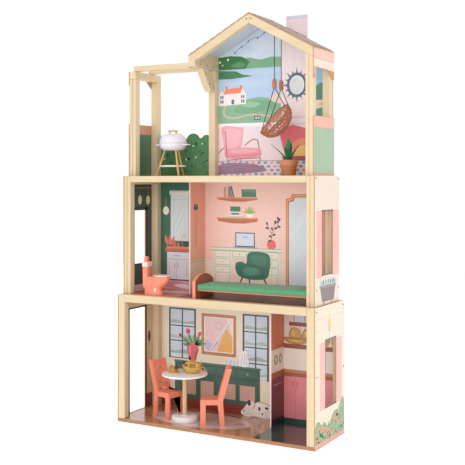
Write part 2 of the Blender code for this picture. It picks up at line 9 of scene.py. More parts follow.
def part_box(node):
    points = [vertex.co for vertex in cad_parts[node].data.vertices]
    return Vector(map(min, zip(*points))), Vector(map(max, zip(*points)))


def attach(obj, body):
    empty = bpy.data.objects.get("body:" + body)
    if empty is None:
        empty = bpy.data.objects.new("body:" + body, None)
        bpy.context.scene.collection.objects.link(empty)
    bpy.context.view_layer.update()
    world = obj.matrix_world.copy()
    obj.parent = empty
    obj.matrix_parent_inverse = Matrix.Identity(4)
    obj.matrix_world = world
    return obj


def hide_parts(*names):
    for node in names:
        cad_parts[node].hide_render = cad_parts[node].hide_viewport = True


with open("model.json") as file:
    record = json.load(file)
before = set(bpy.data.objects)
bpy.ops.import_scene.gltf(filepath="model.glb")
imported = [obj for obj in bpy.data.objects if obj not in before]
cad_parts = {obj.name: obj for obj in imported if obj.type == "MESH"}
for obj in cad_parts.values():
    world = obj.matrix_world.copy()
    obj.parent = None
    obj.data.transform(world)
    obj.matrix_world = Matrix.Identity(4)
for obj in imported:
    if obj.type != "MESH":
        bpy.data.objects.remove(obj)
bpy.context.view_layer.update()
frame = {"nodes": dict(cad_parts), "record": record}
nodes = frame["nodes"]
print("frame loaded")


# Sockets and materials

# Wraps a node socket so that shader maths reads as plain expressions.
class Wire:
    def __init__(self, tree, socket):
        self.tree = tree
        self.socket = socket

    def mathNode(self, operation, first, second=None):
        made = self.tree.nodes.new("ShaderNodeMath")
        made.operation = operation
        for i, value in enumerate((first, second)):
            if isinstance(value, Wire):
                self.tree.links.new(value.socket, made.inputs[i])
            elif value is not None:
                made.inputs[i].default_value = value
        return Wire(self.tree, made.outputs[0])

    def __add__(self, other):
        return self.mathNode("ADD", self, other)

    def __radd__(self, other):
        return self.mathNode("ADD", other, self)

    def __sub__(self, other):
        return self.mathNode("SUBTRACT", self, other)

    def __rsub__(self, other):
        return self.mathNode("SUBTRACT", other, self)

    def __mul__(self, other):
        return self.mathNode("MULTIPLY", self, other)

    def __rmul__(self, other):
        return self.mathNode("MULTIPLY", other, self)

    def __pow__(self, other):
        return self.mathNode("POWER", self, other)


# A material's tree, with one method that adds any node.
class Sheet:
    def __init__(self, name):
        self.made = bpy.data.materials.new(name)
        self.made.use_nodes = True
        self.tree = self.made.node_tree
        self.shader = self.tree.nodes["Principled BSDF"]

    def node(self, kind, settings=None, out=0, **inputs):
        made = self.tree.nodes.new(kind)
        for key, value in (settings or {}).items():
            if key == "stops":
                ramp = made.color_ramp.elements
                while len(ramp) < len(value):
                    ramp.new(0.5)
                for element, (place, colour) in zip(ramp, value):
                    element.position = place
                    element.color = (*colour, 1.0)
            else:
                setattr(made, key, value)
        for key, value in inputs.items():
            self.feed(made.inputs[int(key[1:]) if key[0] == "i" and key[1:].isdigit() else key], value)
        return Wire(self.tree, made.outputs[out])

    def feed(self, socket, value):
        if isinstance(value, Wire):
            self.tree.links.new(value.socket, socket)
        else:
            socket.default_value = value

    def place(self, scale=(1, 1, 1), turn=(0, 0, 0)):
        coords = self.node("ShaderNodeTexCoord", out=3)
        return self.node("ShaderNodeMapping", Vector=coords, Scale=scale, Rotation=turn)

    def noise(self, vector, scale, detail=4.0, roughness=0.55):
        return self.node("ShaderNodeTexNoise", Vector=vector, Scale=scale, Detail=detail,
                         Roughness=roughness)

    def mix(self, factor, first, second, blend="MIX"):
        made = self.tree.nodes.new("ShaderNodeMix")
        made.data_type = "RGBA"
        made.blend_type = blend
        self.feed(made.inputs[0], factor)
        self.feed(made.inputs[6], first if isinstance(first, Wire) else (*first, 1.0))
        self.feed(made.inputs[7], second if isinstance(second, Wire) else (*second, 1.0))
        return Wire(self.tree, made.outputs[2])

    def bump(self, height, distance, strength=0.5):
        return self.node("ShaderNodeBump", Height=height, Distance=distance, Strength=strength)

    def finish(self, **sockets):
        for key, value in sockets.items():
            name = {"base": "Base Color", "rough": "Roughness", "metal": "Metallic", "coat": "Coat Weight",
                    "coatRough": "Coat Roughness", "normal": "Normal", "glow": "Emission Color",
                    "glowStrength": "Emission Strength", "sheen": "Sheen Weight"}[key]
            if isinstance(value, tuple) and len(value) == 3:
                value = (*value, 1.0)
            self.feed(self.shader.inputs[name], value)
        return self.made


# A display colour, 0 to 255, as scene-linear.
def tone(red, green, blue):
    return tuple((c / 255 / 12.92) if c < 11 else ((c / 255 + 0.055) / 1.055) ** 2.4
                 for c in (red, green, blue))


# Pale pine with fine lines, broad growth bands and a few pores that run along one axis.
def pineMaterial(name, along):
    sheet = Sheet(name)
    stretch = [34.0, 34.0, 34.0]
    stretch["XYZ".index(along)] = 1.6
    fine = [420.0, 420.0, 420.0]
    fine["XYZ".index(along)] = 9.0
    bands = sheet.noise(sheet.place(stretch), 1.0, 3.0, 0.6)
    lines = sheet.noise(sheet.place(fine), 1.0, 2.0, 0.7)
    blotch = sheet.noise(sheet.place((6, 6, 6)), 1.0, 2.0, 0.5)
    pale = pineLook["pale"]
    warm = pineLook["warm"]
    base = sheet.mix((bands - 0.36) * 2.4, pale, warm)
    base = sheet.mix((lines - 0.5) * 0.9, base, pineLook["line"])
    base = sheet.mix(blotch * 0.22, base, pineLook["rosy"])
    return sheet.finish(base=base, rough=0.42 + lines * 0.16, coat=0.12,
                        normal=sheet.bump(lines, 0.0004, 0.25))


# Brushed paint: faint cloudiness, fine stipple and a thin clear coat.
def paintMaterial(name, colour, rough=0.38, vary=0.10, coat=0.2, grain=0.00008):
    sheet = Sheet(name)
    cloud = sheet.noise(sheet.place((40, 40, 40)), 1.0, 3.0, 0.6)
    fine = sheet.noise(sheet.place((900, 900, 900)), 1.0, 2.0, 0.5)
    dark = tuple(c * (1 - 1.6 * vary) for c in colour)
    light = tuple(min(c * (1 + vary), 1.0) for c in colour)
    base = sheet.mix(cloud, dark, light)
    return sheet.finish(base=base, rough=rough - 0.06 + fine * 0.12, coat=coat, coatRough=0.2,
                        normal=sheet.bump(fine + cloud * 0.4, grain, 0.5))


# Printed board: its inks come from the mesh, with a soft wash and paper grain.
def printMaterial(name, rough=0.4, coat=0.25, wash=0.10, coatRough=0.25):
    sheet = Sheet(name)
    ink = sheet.node("ShaderNodeAttribute", {"attribute_name": "ink"})
    pool = sheet.noise(sheet.place((22, 22, 22)), 1.0, 5.0, 0.65)
    streak = sheet.noise(sheet.place((90, 90, 260)), 1.0, 3.0, 0.6)
    grain = sheet.noise(sheet.place((1400, 1400, 1400)), 1.0, 1.0, 0.5)
    base = sheet.mix((pool - 0.42) * (wash * 6), ink, (1.0, 0.97, 0.94), "SOFT_LIGHT")
    base = sheet.mix((streak - 0.5) * (wash * 2.2), base, (0.30, 0.22, 0.22))
    return sheet.finish(base=base, rough=rough - 0.03 + grain * 0.06, coat=coat, coatRough=coatRough,
                        normal=sheet.bump(grain, 0.00005, 0.3))


pineLook = {
    "pale": tone(221, 203, 168),
    "warm": tone(210, 186, 146),
    "line": tone(192, 160, 116),
    "rosy": tone(228, 198, 166),
}
pineZ = pineMaterial("pineUpright", "Z")
pineX = pineMaterial("pineAcross", "X")
pineY = pineMaterial("pineDeep", "Y")
hedgeGreen = paintMaterial("hedgeGreen", tone(72, 122, 80), 0.6, 0.2, 0.0)
boardEdge = paintMaterial("boardEdge", tone(196, 150, 108), 0.6, 0.12, 0.0)
baseBrown = paintMaterial("baseBoard", tone(176, 126, 88), 0.5, 0.16, 0.1)
printed = printMaterial("printedBoard")
printedDull = printMaterial("printedFloorDull", 0.42, 0.2, 0.06, 0.2)
printedFloor = printMaterial("printedFloor", 0.22, 0.7, 0.06, 0.08)
coral = paintMaterial("coralPaint", tone(246, 142, 112))
coralDeep = paintMaterial("coralDeep", tone(236, 108, 80), 0.32)
blush = paintMaterial("blushPaint", tone(250, 214, 204))
white = paintMaterial("whitePaint", tone(244, 238, 238), 0.3, 0.04)
lilac = paintMaterial("lilacPaint", tone(232, 226, 236), 0.34, 0.05)
poleTan = pineMaterial("poleWood", "Z")
goldPaint = paintMaterial("goldPaint", tone(222, 176, 92), 0.35, 0.14)
breadBrown = paintMaterial("breadBrown", tone(196, 132, 52), 0.55, 0.22)
olive = paintMaterial("oliveFruit", tone(66, 70, 40), 0.5, 0.25)
potClay = paintMaterial("potClay", tone(206, 138, 96), 0.7, 0.10, 0.0, 0.0002)
cane = paintMaterial("cane", tone(184, 112, 80), 0.5, 0.2, 0.1)
cordBlack = paintMaterial("cordBlack", tone(40, 40, 44), 0.8, 0.2, 0.0)
screwMetal = paintMaterial("screwMetal", tone(92, 70, 58), 0.45, 0.1, 0.0)
screwMetal.node_tree.nodes["Principled BSDF"].inputs["Metallic"].default_value = 0.6
print("materials made")


# Mesh helpers

def addMesh(name, bm, look, smooth=None):
    mesh = bpy.data.meshes.new(name)
    bm.to_mesh(mesh)
    bm.free()
    for one in look if isinstance(look, (list, tuple)) else [look]:
        mesh.materials.append(one)
    if smooth is not None:
        mesh.shade_smooth()
        mesh.set_sharp_from_angle(angle=math.radians(smooth))
    made = bpy.data.objects.new(name, mesh)
    bpy.context.scene.collection.objects.link(made)
    return made


def finished(made, body, slot=None, *stands):
    if stands:
        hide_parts(*stands)
    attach(made, body)
    return made


# Puts several meshes in one, each (mesh, material index).
def joined(parts):
    whole = bmesh.new()
    for bm, index in parts:
        bmesh.ops.recalc_face_normals(bm, faces=bm.faces)
        for face in bm.faces:
            face.material_index = index
        carrier = bpy.data.meshes.new("carrier")
        bm.to_mesh(carrier)
        bm.free()
        whole.from_mesh(carrier)
        bpy.data.meshes.remove(carrier)
    return whole


def roundedBox(lo, hi, radius, segments=3):
    bm = bmesh.new()
    bmesh.ops.create_cube(bm, size=1.0)
    size = [b - a for a, b in zip(lo, hi)]
    middle = [(a + b) / 2 for a, b in zip(lo, hi)]
    bmesh.ops.scale(bm, vec=size, verts=bm.verts)
    bmesh.ops.translate(bm, vec=middle, verts=bm.verts)
    reach = min(radius, min(size) * 0.49)
    bmesh.ops.bevel(bm, geom=list(bm.edges), offset=reach, segments=segments, profile=0.5, affect="EDGES")
    return bm


# Turns (radius, height) points about the vertical through centre.
def lathe(profile, centre=(0, 0, 0), sides=64, squeeze=(1, 1)):
    bm = bmesh.new()
    rings = []
    for radius, height in profile:
        ring = []
        for i in range(sides if radius > 1e-7 else 1):
            turn = 2 * math.pi * i / sides
            x = centre[0] + radius * squeeze[0] * math.cos(turn)
            y = centre[1] + radius * squeeze[1] * math.sin(turn)
            ring.append(bm.verts.new((x, y, centre[2] + height)))
        rings.append(ring)
    pairs = list(zip(rings, rings[1:]))
    if profile[0][0] > 1e-7 and profile[-1][0] > 1e-7:
        pairs.append((rings[-1], rings[0]))
    for low, high in pairs:
        for i in range(sides):
            j = (i + 1) % sides
            loop = [low[i % len(low)], low[j % len(low)], high[j % len(high)], high[i % len(high)]]
            bm.faces.new(list(dict.fromkeys(loop)))
    bmesh.ops.recalc_face_normals(bm, faces=bm.faces)
    return bm


# A round tube through points, with a frame carried along so that it doesn't twist.
def tube(points, radius, sides=8, closed=False):
    bm = bmesh.new()
    points = [Vector(p) for p in points]
    count = len(points)
    rings = []
    side = None
    for i, point in enumerate(points):
        before = points[(i - 1) % count] if closed or i else point
        after = points[(i + 1) % count] if closed or i < count - 1 else point
        along = (after - before).normalized()
        if side is None:
            side = along.orthogonal().normalized()
        side = (side - along * side.dot(along)).normalized()
        other = along.cross(side)
        thick = radius(i / max(count - 1, 1)) if callable(radius) else radius
        ring = []
        for k in range(sides):
            turn = 2 * math.pi * k / sides
            ring.append(bm.verts.new(point + (side * math.cos(turn) + other * math.sin(turn)) * thick))
        rings.append(ring)
    pairs = list(zip(rings, rings[1:])) + ([(rings[-1], rings[0])] if closed else [])
    for first, second in pairs:
        for k in range(sides):
            m = (k + 1) % sides
            bm.faces.new((first[k], first[m], second[m], second[k]))
    if not closed:
        bm.faces.new(rings[0][::-1])
        bm.faces.new(rings[-1])
    return bm


# Points along a Catmull-Rom curve through the given ones.
def smoothLine(points, steps=6, closed=False):
    made = []
    count = len(points)
    last = count if closed else count - 1
    for i in range(last):
        ends = [points[(i + k) % count] if closed else points[min(max(i + k, 0), count - 1)]
                for k in (-1, 0, 1, 2)]
        for s in range(steps):
            t = s / steps
            weights = (-0.5 * t ** 3 + t ** 2 - 0.5 * t, 1.5 * t ** 3 - 2.5 * t ** 2 + 1,
                       -1.5 * t ** 3 + 2 * t ** 2 + 0.5 * t, 0.5 * t ** 3 - 0.5 * t ** 2)
            made.append(tuple(sum(w * end[d] for w, end in zip(weights, ends))
                              for d in range(len(points[0]))))
    if not closed:
        made.append(tuple(points[-1]))
    return made


# Camera and light

studio = {
    "cameraPlace": (1.2804, -2.2980, 0.7061),
    "cameraTurn": 28.859,
    "lens": 71.2,
    "shiftY": -0.1129,
    "sky": 1.0,
    "front": 11.0,
}


def cameraAndLight():
    lens = bpy.data.cameras.new("camera")
    lens.lens = studio["lens"]
    lens.sensor_width = 36.0
    lens.shift_y = studio["shiftY"]
    camera = bpy.data.objects.new("camera", lens)
    camera.location = studio["cameraPlace"]
    camera.rotation_euler = (math.radians(90), 0, math.radians(studio["cameraTurn"]))
    bpy.context.scene.collection.objects.link(camera)
    bpy.context.scene.camera = camera
    world = bpy.data.worlds.new("studio")
    world.use_nodes = True
    world.node_tree.nodes["Background"].inputs[0].default_value = (1, 1, 1, 1)
    world.node_tree.nodes["Background"].inputs[1].default_value = studio["sky"]
    bpy.context.scene.world = world
    bpy.context.scene.view_settings.view_transform = "Standard"
    for name, place, size, power in (("frontLight", (0.9, -2.2, 1.3), 1.6, studio["front"]),):
        light = bpy.data.lights.new(name, "AREA")
        light.size = size
        light.energy = power
        lamp = bpy.data.objects.new(name, light)
        lamp.location = place
        lamp.rotation_euler = (Vector((0, 0, 0.6)) - lamp.location).to_track_quat("-Z", "Y").to_euler()
        bpy.context.scene.collection.objects.link(lamp)
    bm = bmesh.new()
    bmesh.ops.create_grid(bm, x_segments=1, y_segments=1, size=4.0)
    bmesh.ops.translate(bm, vec=(0, 0, -0.0004), verts=bm.verts)
    sheet = Sheet("studioFloor")
    look = sheet.finish(base=(0.9, 0.9, 0.9), rough=0.6, glow=(1.0, 1.0, 1.0), glowStrength=0.42)
    addMesh("studioFloor", bm, look)


cameraAndLight()
print("camera and light made")


# Timber: the CAD posts and beams with softened edges

timber = {"edge": 0.0009, "boardEdge": 0.0004}


# A copy of a CAD node with small rounded edges.
def softened(name, look, width, body="house", smooth=30.0, slot=None):
    bm = bmesh.new()
    bm.from_mesh(nodes[name].data)
    bmesh.ops.remove_doubles(bm, verts=bm.verts, dist=1e-6)
    bmesh.ops.dissolve_limit(bm, angle_limit=math.radians(1.0), verts=bm.verts, edges=bm.edges)
    made = addMesh(f"{name}_soft", bm, look, smooth)
    bevel = made.modifiers.new("edges", "BEVEL")
    bevel.width = width
    bevel.segments = 2
    bevel.limit_method = "ANGLE"
    bevel.angle_limit = math.radians(35)
    bevel.harden_normals = False
    slotName = slot or nodeSlot[name]
    return finished(made, body, slotName, name)


nodeSlot = {part["node"]: part["material_slot"] for part in frame["record"]["subparts"]}


def makeTimber():
    for name, obj in nodes.items():
        if nodeSlot[name] == "pine":
            lo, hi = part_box(name)
            spans = [b - a for a, b in zip(lo, hi)]
            look = baseBrown if name == "base_board" else (pineX, pineY, pineZ)[spans.index(max(spans))]
            softened(name, look, timber["edge"])
        elif nodeSlot[name] in ("printed_board", "cream_board", "floor_board", "roof_board"):
            obj.data.materials.clear()
            obj.data.materials.append(hedgeGreen if name == "hedge_panel" else boardEdge)


makeTimber()
print("timber made")


# Printed boards: flat inks, each a thin layer over the last, in wall coordinates (metres)

# Collects inks on one flat face; place(u, v, h) gives a point h above it.
class Wall:
    def __init__(self, name, place, step=0.000006):
        self.name = name
        self.place = place
        self.step = step
        self.level = 0.00006
        self.bm = bmesh.new()
        self.ink = self.bm.loops.layers.float_color.new("ink")

    def fill(self, colour, *shapes):
        self.level += self.step
        for shape in shapes:
            low = [self.bm.verts.new(self.place(u, v, 0.00003)) for u, v in shape]
            high = [self.bm.verts.new(self.place(u, v, self.level)) for u, v in shape]
            faces = [self.bm.faces.new(high), self.bm.faces.new(low[::-1])]
            for i in range(len(low)):
                j = (i + 1) % len(low)
                faces.append(self.bm.faces.new((low[i], low[j], high[j], high[i])))
            for face in faces:
                for loop in face.loops:
                    loop[self.ink] = (*tone(*colour), 1.0)

    def line(self, colour, width, *paths):
        self.fill(colour, *[stroke(path, width) for path in paths])

    def frameLine(self, colour, width, *shapes):
        for shape in shapes:
            self.line(colour, width, *[(a, b) for a, b in zip(shape, shape[1:] + shape[:1])])

    def done(self, look=None, slot="printed_board"):
        bmesh.ops.recalc_face_normals(self.bm, faces=self.bm.faces)
        return finished(addMesh(self.name, self.bm, look or printed), "house", slot)


# Flat drawing numbers in millimetres, taken in pairs
def mm(*numbers):
    return [(u / 1000, v / 1000) for u, v in zip(numbers[::2], numbers[1::2])]


def stroke(path, width):
    left = []
    right = []
    for i, (u, v) in enumerate(path):
        before = path[max(i - 1, 0)]
        after = path[min(i + 1, len(path) - 1)]
        du, dv = after[0] - before[0], after[1] - before[1]
        size = math.hypot(du, dv) or 1.0
        nu, nv = -dv / size * width / 2, du / size * width / 2
        left.append((u + nu, v + nv))
        right.append((u - nu, v - nv))
    return left + right[::-1]


def rect(u0, u1, v0, v1):
    return [(u0, v0), (u1, v0), (u1, v1), (u0, v1)]


def oval(u, v, ru, rv, count=24, start=0, end=360):
    steps = count if end - start == 360 else count + 1
    turn = [math.radians(start + (end - start) * i / count) for i in range(steps)]
    return [(u + ru * math.cos(t), v + rv * math.sin(t)) for t in turn]


def soft(*points, steps=5):
    return smoothLine(list(points), steps, True)


def curve(*points, steps=5):
    return smoothLine(list(points), steps)


# A pointed leaf from its stem end.
def leaf(u, v, reach, turn, width=0.3):
    c, s = math.cos(math.radians(turn)), math.sin(math.radians(turn))
    outline = [(0, 0), (0.35, width * 0.5), (0.7, width * 0.4), (1, 0), (0.7, -width * 0.4),
               (0.35, -width * 0.5)]
    return [(u + reach * (a * c - b * s), v + reach * (a * s + b * c)) for a, b in outline]


wallInk = {"cream": (238, 228, 206), "slate": (74, 84, 96), "glass": (206, 218, 234),
           "frame": (182, 116, 76), "green": (64, 104, 90), "greenDark": (42, 72, 62),
           "rattan": (206, 158, 138), "rattanLine": (232, 206, 188), "rose": (226, 106, 112),
           "skirting": (134, 54, 36), "pinkWall": (246, 204, 192), "wainscot": (240, 218, 202),
           "shelf": (190, 106, 76), "coral": (228, 112, 84), "oak": (178, 120, 82),
           "darkLine": (84, 80, 88),}


def backFace(level):
    return lambda u, v, h: Vector((u, level - h, v))


def rightFace(level):
    return lambda u, v, h: Vector((level + h, u, v))


def floorFace(level):
    return lambda u, v, h: Vector((u, v, level + h))


def rightWall(name, node):
    lo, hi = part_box(node)
    return Wall(name, rightFace(hi[0])), lo, hi


def uprights(places, low, high):
    return [[(u, low), (u, high)] for u in places]


def levels(places, left, right):
    return [[(left, v), (right, v)] for v in places]


def boardAround(board, hole):
    a, b, c, d = hole
    return [rect(board[0], a, *board[2:]), rect(b, board[1], *board[2:]), rect(a, b, d, board[3]),
            rect(a, b, board[2], c)]


def diningWall():
    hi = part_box("bottom_panel_back")
    wall = Wall("diningArt", backFace(hi[0][1]))
    low, top = 0.0105, 0.3685
    wall.fill(wallInk["cream"], rect(-0.3115, 0.126, low, top))
    wall.fill(wallInk["skirting"], rect(-0.3115, 0.126, low, 0.046))
    wall.line((96, 34, 24), 0.0015, mm(-310, 45.5, 126, 45.5))
    for left, right, base, up in ((-0.264, -0.167, 0.159, 0.314), (-0.006, 0.081, 0.118, 0.311)):
        wall.fill(wallInk["slate"], rect(left, right, base, up))
        middle = (left + right) / 2
        wall.fill(wallInk["glass"], rect(left + 0.006, right - 0.006, base + 0.006, up - 0.005))
        for k, (v, tall, colour) in enumerate(((0.270, 0.016, (166, 184, 184)),
                                               (0.224, 0.018, (176, 194, 192)),
                                               (0.178, 0.020, (160, 180, 176)),
                                               (0.134, 0.014, (172, 190, 190)))):
            if v > base + 0.006:
                shore = curve(*[(left + 0.007 + (right - left - 0.014) * i / 6,
                                 v + tall * (0.30 + 0.16 * math.sin(1.3 * i + 1.7 * k)))
                                for i in range(7)])
                wall.fill(colour, [(left + 0.007, v - 0.004), *shore, (right - 0.007, v - 0.004)])
                wall.fill((222, 230, 240), rect(left + 0.007, right - 0.007, v - 0.016, v - 0.004))
                wall.line((188, 204, 222), 0.0012, *[[(left + 0.012 + 0.01 * j, v - 0.007 - 0.003 * j),
                        (right - 0.020 + 0.006 * j, v - 0.007 - 0.003 * j)] for j in range(3)])
        rows = [base + 0.006, *[v for v in (0.118 + 0.048, 0.213, 0.259) if v > base + 0.02], up - 0.002]
        for highV in rows[1:-1]:
            wall.line(wallInk["slate"], 0.0036, [(left + 0.004, highV), (right - 0.004, highV)])
        wall.line(wallInk["slate"], 0.0046, [(middle, base), (middle, up)])
        wall.line((44, 52, 62), 0.0012, [(left + 0.004, base + 0.003), (left + 0.004, up - 0.003)],
                  [(right - 0.004, base + 0.003), (right - 0.004, up - 0.003)])
    picture(wall)
    sideboard(wall)
    tulips(wall)
    cupsAndJug(wall)
    sleepingDog(wall)
    kitchenWall(wall)
    wall.done()


def picture(wall):
    left, right, base, up = -0.147, -0.028, 0.179, 0.303
    wall.fill(wallInk["frame"], rect(left, right, base, up))
    beads = []
    for i in range(22):
        v = base + 0.003 + (up - base - 0.006) * i / 21
        beads += [oval(left + 0.004, v, 0.0022, 0.0022, 8), oval(right - 0.004, v, 0.0022, 0.0022, 8)]
    for i in range(20):
        u = left + 0.004 + (right - left - 0.008) * i / 19
        beads += [oval(u, base + 0.004, 0.0022, 0.0022, 8), oval(u, up - 0.004, 0.0022, 0.0022, 8)]
    wall.fill((206, 146, 100), *beads)
    wall.fill((250, 240, 236), rect(left + 0.009, right - 0.009, base + 0.009, up - 0.009))
    a, b, c, d = left + 0.012, right - 0.012, base + 0.012, up - 0.012
    wall.fill((238, 206, 208), rect(a, b, c, d))
    wall.fill((236, 178, 96), [(-0.092, c), (b, c), (b, 0.236), (-0.060, 0.262), (-0.078, 0.232)])
    wall.fill((206, 190, 222), [(a, c), (-0.112, c), (-0.086, 0.222), (-0.110, 0.212), (a, 0.226)])
    wall.fill((248, 226, 206), [(b, 0.246), (b, d), (-0.062, d)])
    wall.line((250, 250, 250), 0.0022, [(-0.118, c + 0.002), (-0.046, d - 0.002)])
    wall.line((196, 182, 224), 0.0018, mm(-100, 214, -52, 276))
    wall.line((150, 140, 160), 0.0009, oval(-0.086, 0.268, 0.011, 0.011, 24) + [(-0.075, 0.268)],
              mm(-130, 236, -120, 258, -108, 232))
    wall.line((224, 112, 96), 0.0012, [(-0.090, c), (-0.070, 0.214)], mm(-104, 206, -94, 222, -84, 204))


def sideboard(wall):
    left, right, base, up = -0.242, 0.052, 0.041, 0.154
    wall.fill(wallInk["green"], rect(left, right, base, up - 0.006))
    wall.fill((78, 120, 104), rect(left - 0.003, right + 0.003, up - 0.006, up))
    wall.line(wallInk["greenDark"], 0.0016, [(left, up - 0.0065), (right, up - 0.0065)],
              [(left, 0.117), (right, 0.117)])
    drawers = mm(-236, -165, -161, -99, -95, -28, -24, 46)
    for a, b in drawers:
        wall.frameLine(wallInk["greenDark"], 0.0013, rect(a, b, 0.120, 0.144))
        wall.fill((198, 160, 110), oval((a + b) / 2, 0.132, 0.003, 0.0022, 10))
    for a, b in ((-0.206, -0.167), (-0.150, -0.105), (-0.068, -0.030), (-0.015, 0.035)):
        wall.frameLine(wallInk["greenDark"], 0.0016, rect(a - 0.008, b + 0.008, 0.046, 0.112))
        wall.fill(wallInk["rattan"], rect(a, b, 0.053, 0.098))
        count = 9
        weave = []
        for i in range(count):
            v = 0.0550 + 0.0415 * i / (count - 1)
            weave.append(curve(*[(a + (b - a) * k / 8, v + 0.0007 * (-1) ** (k + i)) for k in range(9)],
                               steps=2))
        wall.line(wallInk["rattanLine"], 0.0012, *weave)
        wall.line((150, 104, 92), 0.0005, *[[(a + (b - a) * k / 8, 0.0535), (a + (b - a) * k / 8, 0.0975)]
                                            for k in range(1, 8)])
    legs = [rect(u, u + 0.008, 0.028, base) for u in (left + 0.004, -0.100, right - 0.012)]
    wall.fill(wallInk["greenDark"], *legs)


def tulips(wall):
    wall.line((96, 128, 86), 0.0014, curve(*mm(-178, 204, -184, 222, -192, 240)),
              curve(*mm(-176, 204, -170, 222, -158, 236)), curve(*mm(-180, 204, -200, 220, -216, 228)))
    wall.fill((116, 144, 96), leaf(-0.180, 0.203, 0.040, 150), leaf(-0.178, 0.203, 0.036, 118),
              leaf(-0.174, 0.203, 0.044, 30), leaf(-0.172, 0.203, 0.038, 60),
              leaf(-0.176, 0.202, 0.050, 12, 0.2), leaf(-0.182, 0.202, 0.034, 176))
    wall.fill((166, 178, 120), leaf(-0.176, 0.204, 0.034, 88, 0.2), leaf(-0.180, 0.203, 0.030, 134, 0.2))
    wall.fill((222, 78, 104), leaf(-0.194, 0.234, 0.020, 100, 0.7), leaf(-0.158, 0.232, 0.017, 60, 0.7))
    wall.fill((196, 56, 84), leaf(-0.192, 0.236, 0.016, 84, 0.4), leaf(-0.217, 0.225, 0.015, 140, 0.7))
    body = soft(*mm(-190, 156, -168, 156, -163, 174, -157, 192, -166, 204, -178, 206, -190, 204, -199,
                    192, -194, 174))
    wall.fill(wallInk["rose"], body)
    wall.fill((240, 146, 142), soft(*mm(-192, 192, -186, 200, -184, 184, -186, 166, -190, 176)))
    wall.fill((190, 74, 84), soft(*mm(-168, 160, -162, 180, -160, 194, -166, 184, -170, 168)))


def cupsAndJug(wall):
    for u in (-0.055, -0.040, -0.028):
        wall.fill((232, 234, 240), soft((u - 0.007, 0.171), (u + 0.007, 0.171), (u + 0.005, 0.155),
                                        (u - 0.005, 0.155)))
        wall.line((128, 142, 166), 0.0009, curve((u - 0.007, 0.171), (u - 0.005, 0.156),
                (u + 0.005, 0.156), (u + 0.007, 0.171)))
        wall.line((150, 160, 180), 0.0007, [(u - 0.004, 0.158), (u - 0.002, 0.169)],
                  [(u + 0.001, 0.158), (u + 0.003, 0.169)])
    jug = soft(*mm(-14, 155, 10, 155, 15, 170, 9, 186, 8, 198, -10, 198, -18, 170))
    wall.fill((238, 238, 242), jug)
    wall.line((140, 148, 166), 0.0009, curve(*mm(9, 194, 21, 186, 21, 168, 13, 162)),
              mm(-10, 160, -6, 192), mm(0, 158, 1, 194), mm(8, 160, 6, 190))


def sleepingDog(wall):
    body = soft(*mm(-12, 18, 0, 34, 22, 40, 46, 56, 78, 50, 104, 40, 112, 20, 80, 10, 30, 11, 6, 8))
    wall.fill((244, 236, 228), body)
    wall.line((112, 96, 96), 0.0011, body + body[:1])
    wall.fill((238, 228, 220), soft(*mm(-6, 24, 14, 52, 30, 56, 36, 40, 20, 26, 2, 18)))
    wall.fill((64, 62, 70), oval(0.016, 0.050, 0.006, 0.009, 12), oval(0.050, 0.036, 0.004, 0.006, 10),
              oval(0.074, 0.040, 0.006, 0.004, 10), oval(0.060, 0.022, 0.003, 0.003, 8),
              oval(0.094, 0.030, 0.004, 0.005, 8), oval(-0.002, 0.024, 0.003, 0.002, 8))
    wall.line((206, 84, 84), 0.0022, curve(*mm(32, 58, 36, 46, 30, 34)))
    wall.line((120, 104, 104), 0.0009, curve(*mm(30, 14, 16, 20, 4, 14)),
              curve(*mm(78, 12, 70, 24, 80, 34)))


def kitchenWall(wall):
    left, right = 0.130, 0.3115
    wall.fill((240, 224, 216), rect(left, right, 0.0105, 0.3685))
    wall.fill((214, 222, 232), rect(0.162, 0.196, 0.300, 0.345))
    wall.line(wallInk["slate"], 0.0022, mm(162, 301, 162, 345, 196, 345, 196, 301))
    wall.fill((150, 84, 56), rect(0.146, right, 0.288, 0.299), rect(left, right, 0.223, 0.236))
    wall.line((108, 56, 38), 0.001, [(left, 0.2232), (right, 0.2232)], [(0.146, 0.2882), (right, 0.2882)])
    kettles(wall)
    wall.fill((160, 94, 60), rect(left, right, 0.143, 0.162))
    wall.fill((196, 128, 86), rect(left, right, 0.153, 0.162))
    wall.fill((240, 138, 144), rect(left, right, 0.022, 0.143))
    wall.line((190, 92, 100), 0.0012, [(left, 0.142), (right, 0.142)],
              *uprights((0.165, 0.208, 0.250, 0.292), 0.024, 0.141))
    wall.line((222, 118, 126), 0.0007, *uprights((0.140, 0.152, 0.178, 0.192, 0.222, 0.236, 0.264, 0.278),
            0.028, 0.137))
    wall.line((110, 48, 54), 0.0016, *uprights((0.158, 0.172, 0.243, 0.257), 0.112, 0.128))
    wall.fill((34, 74, 64), rect(left, right, 0.0105, 0.022))


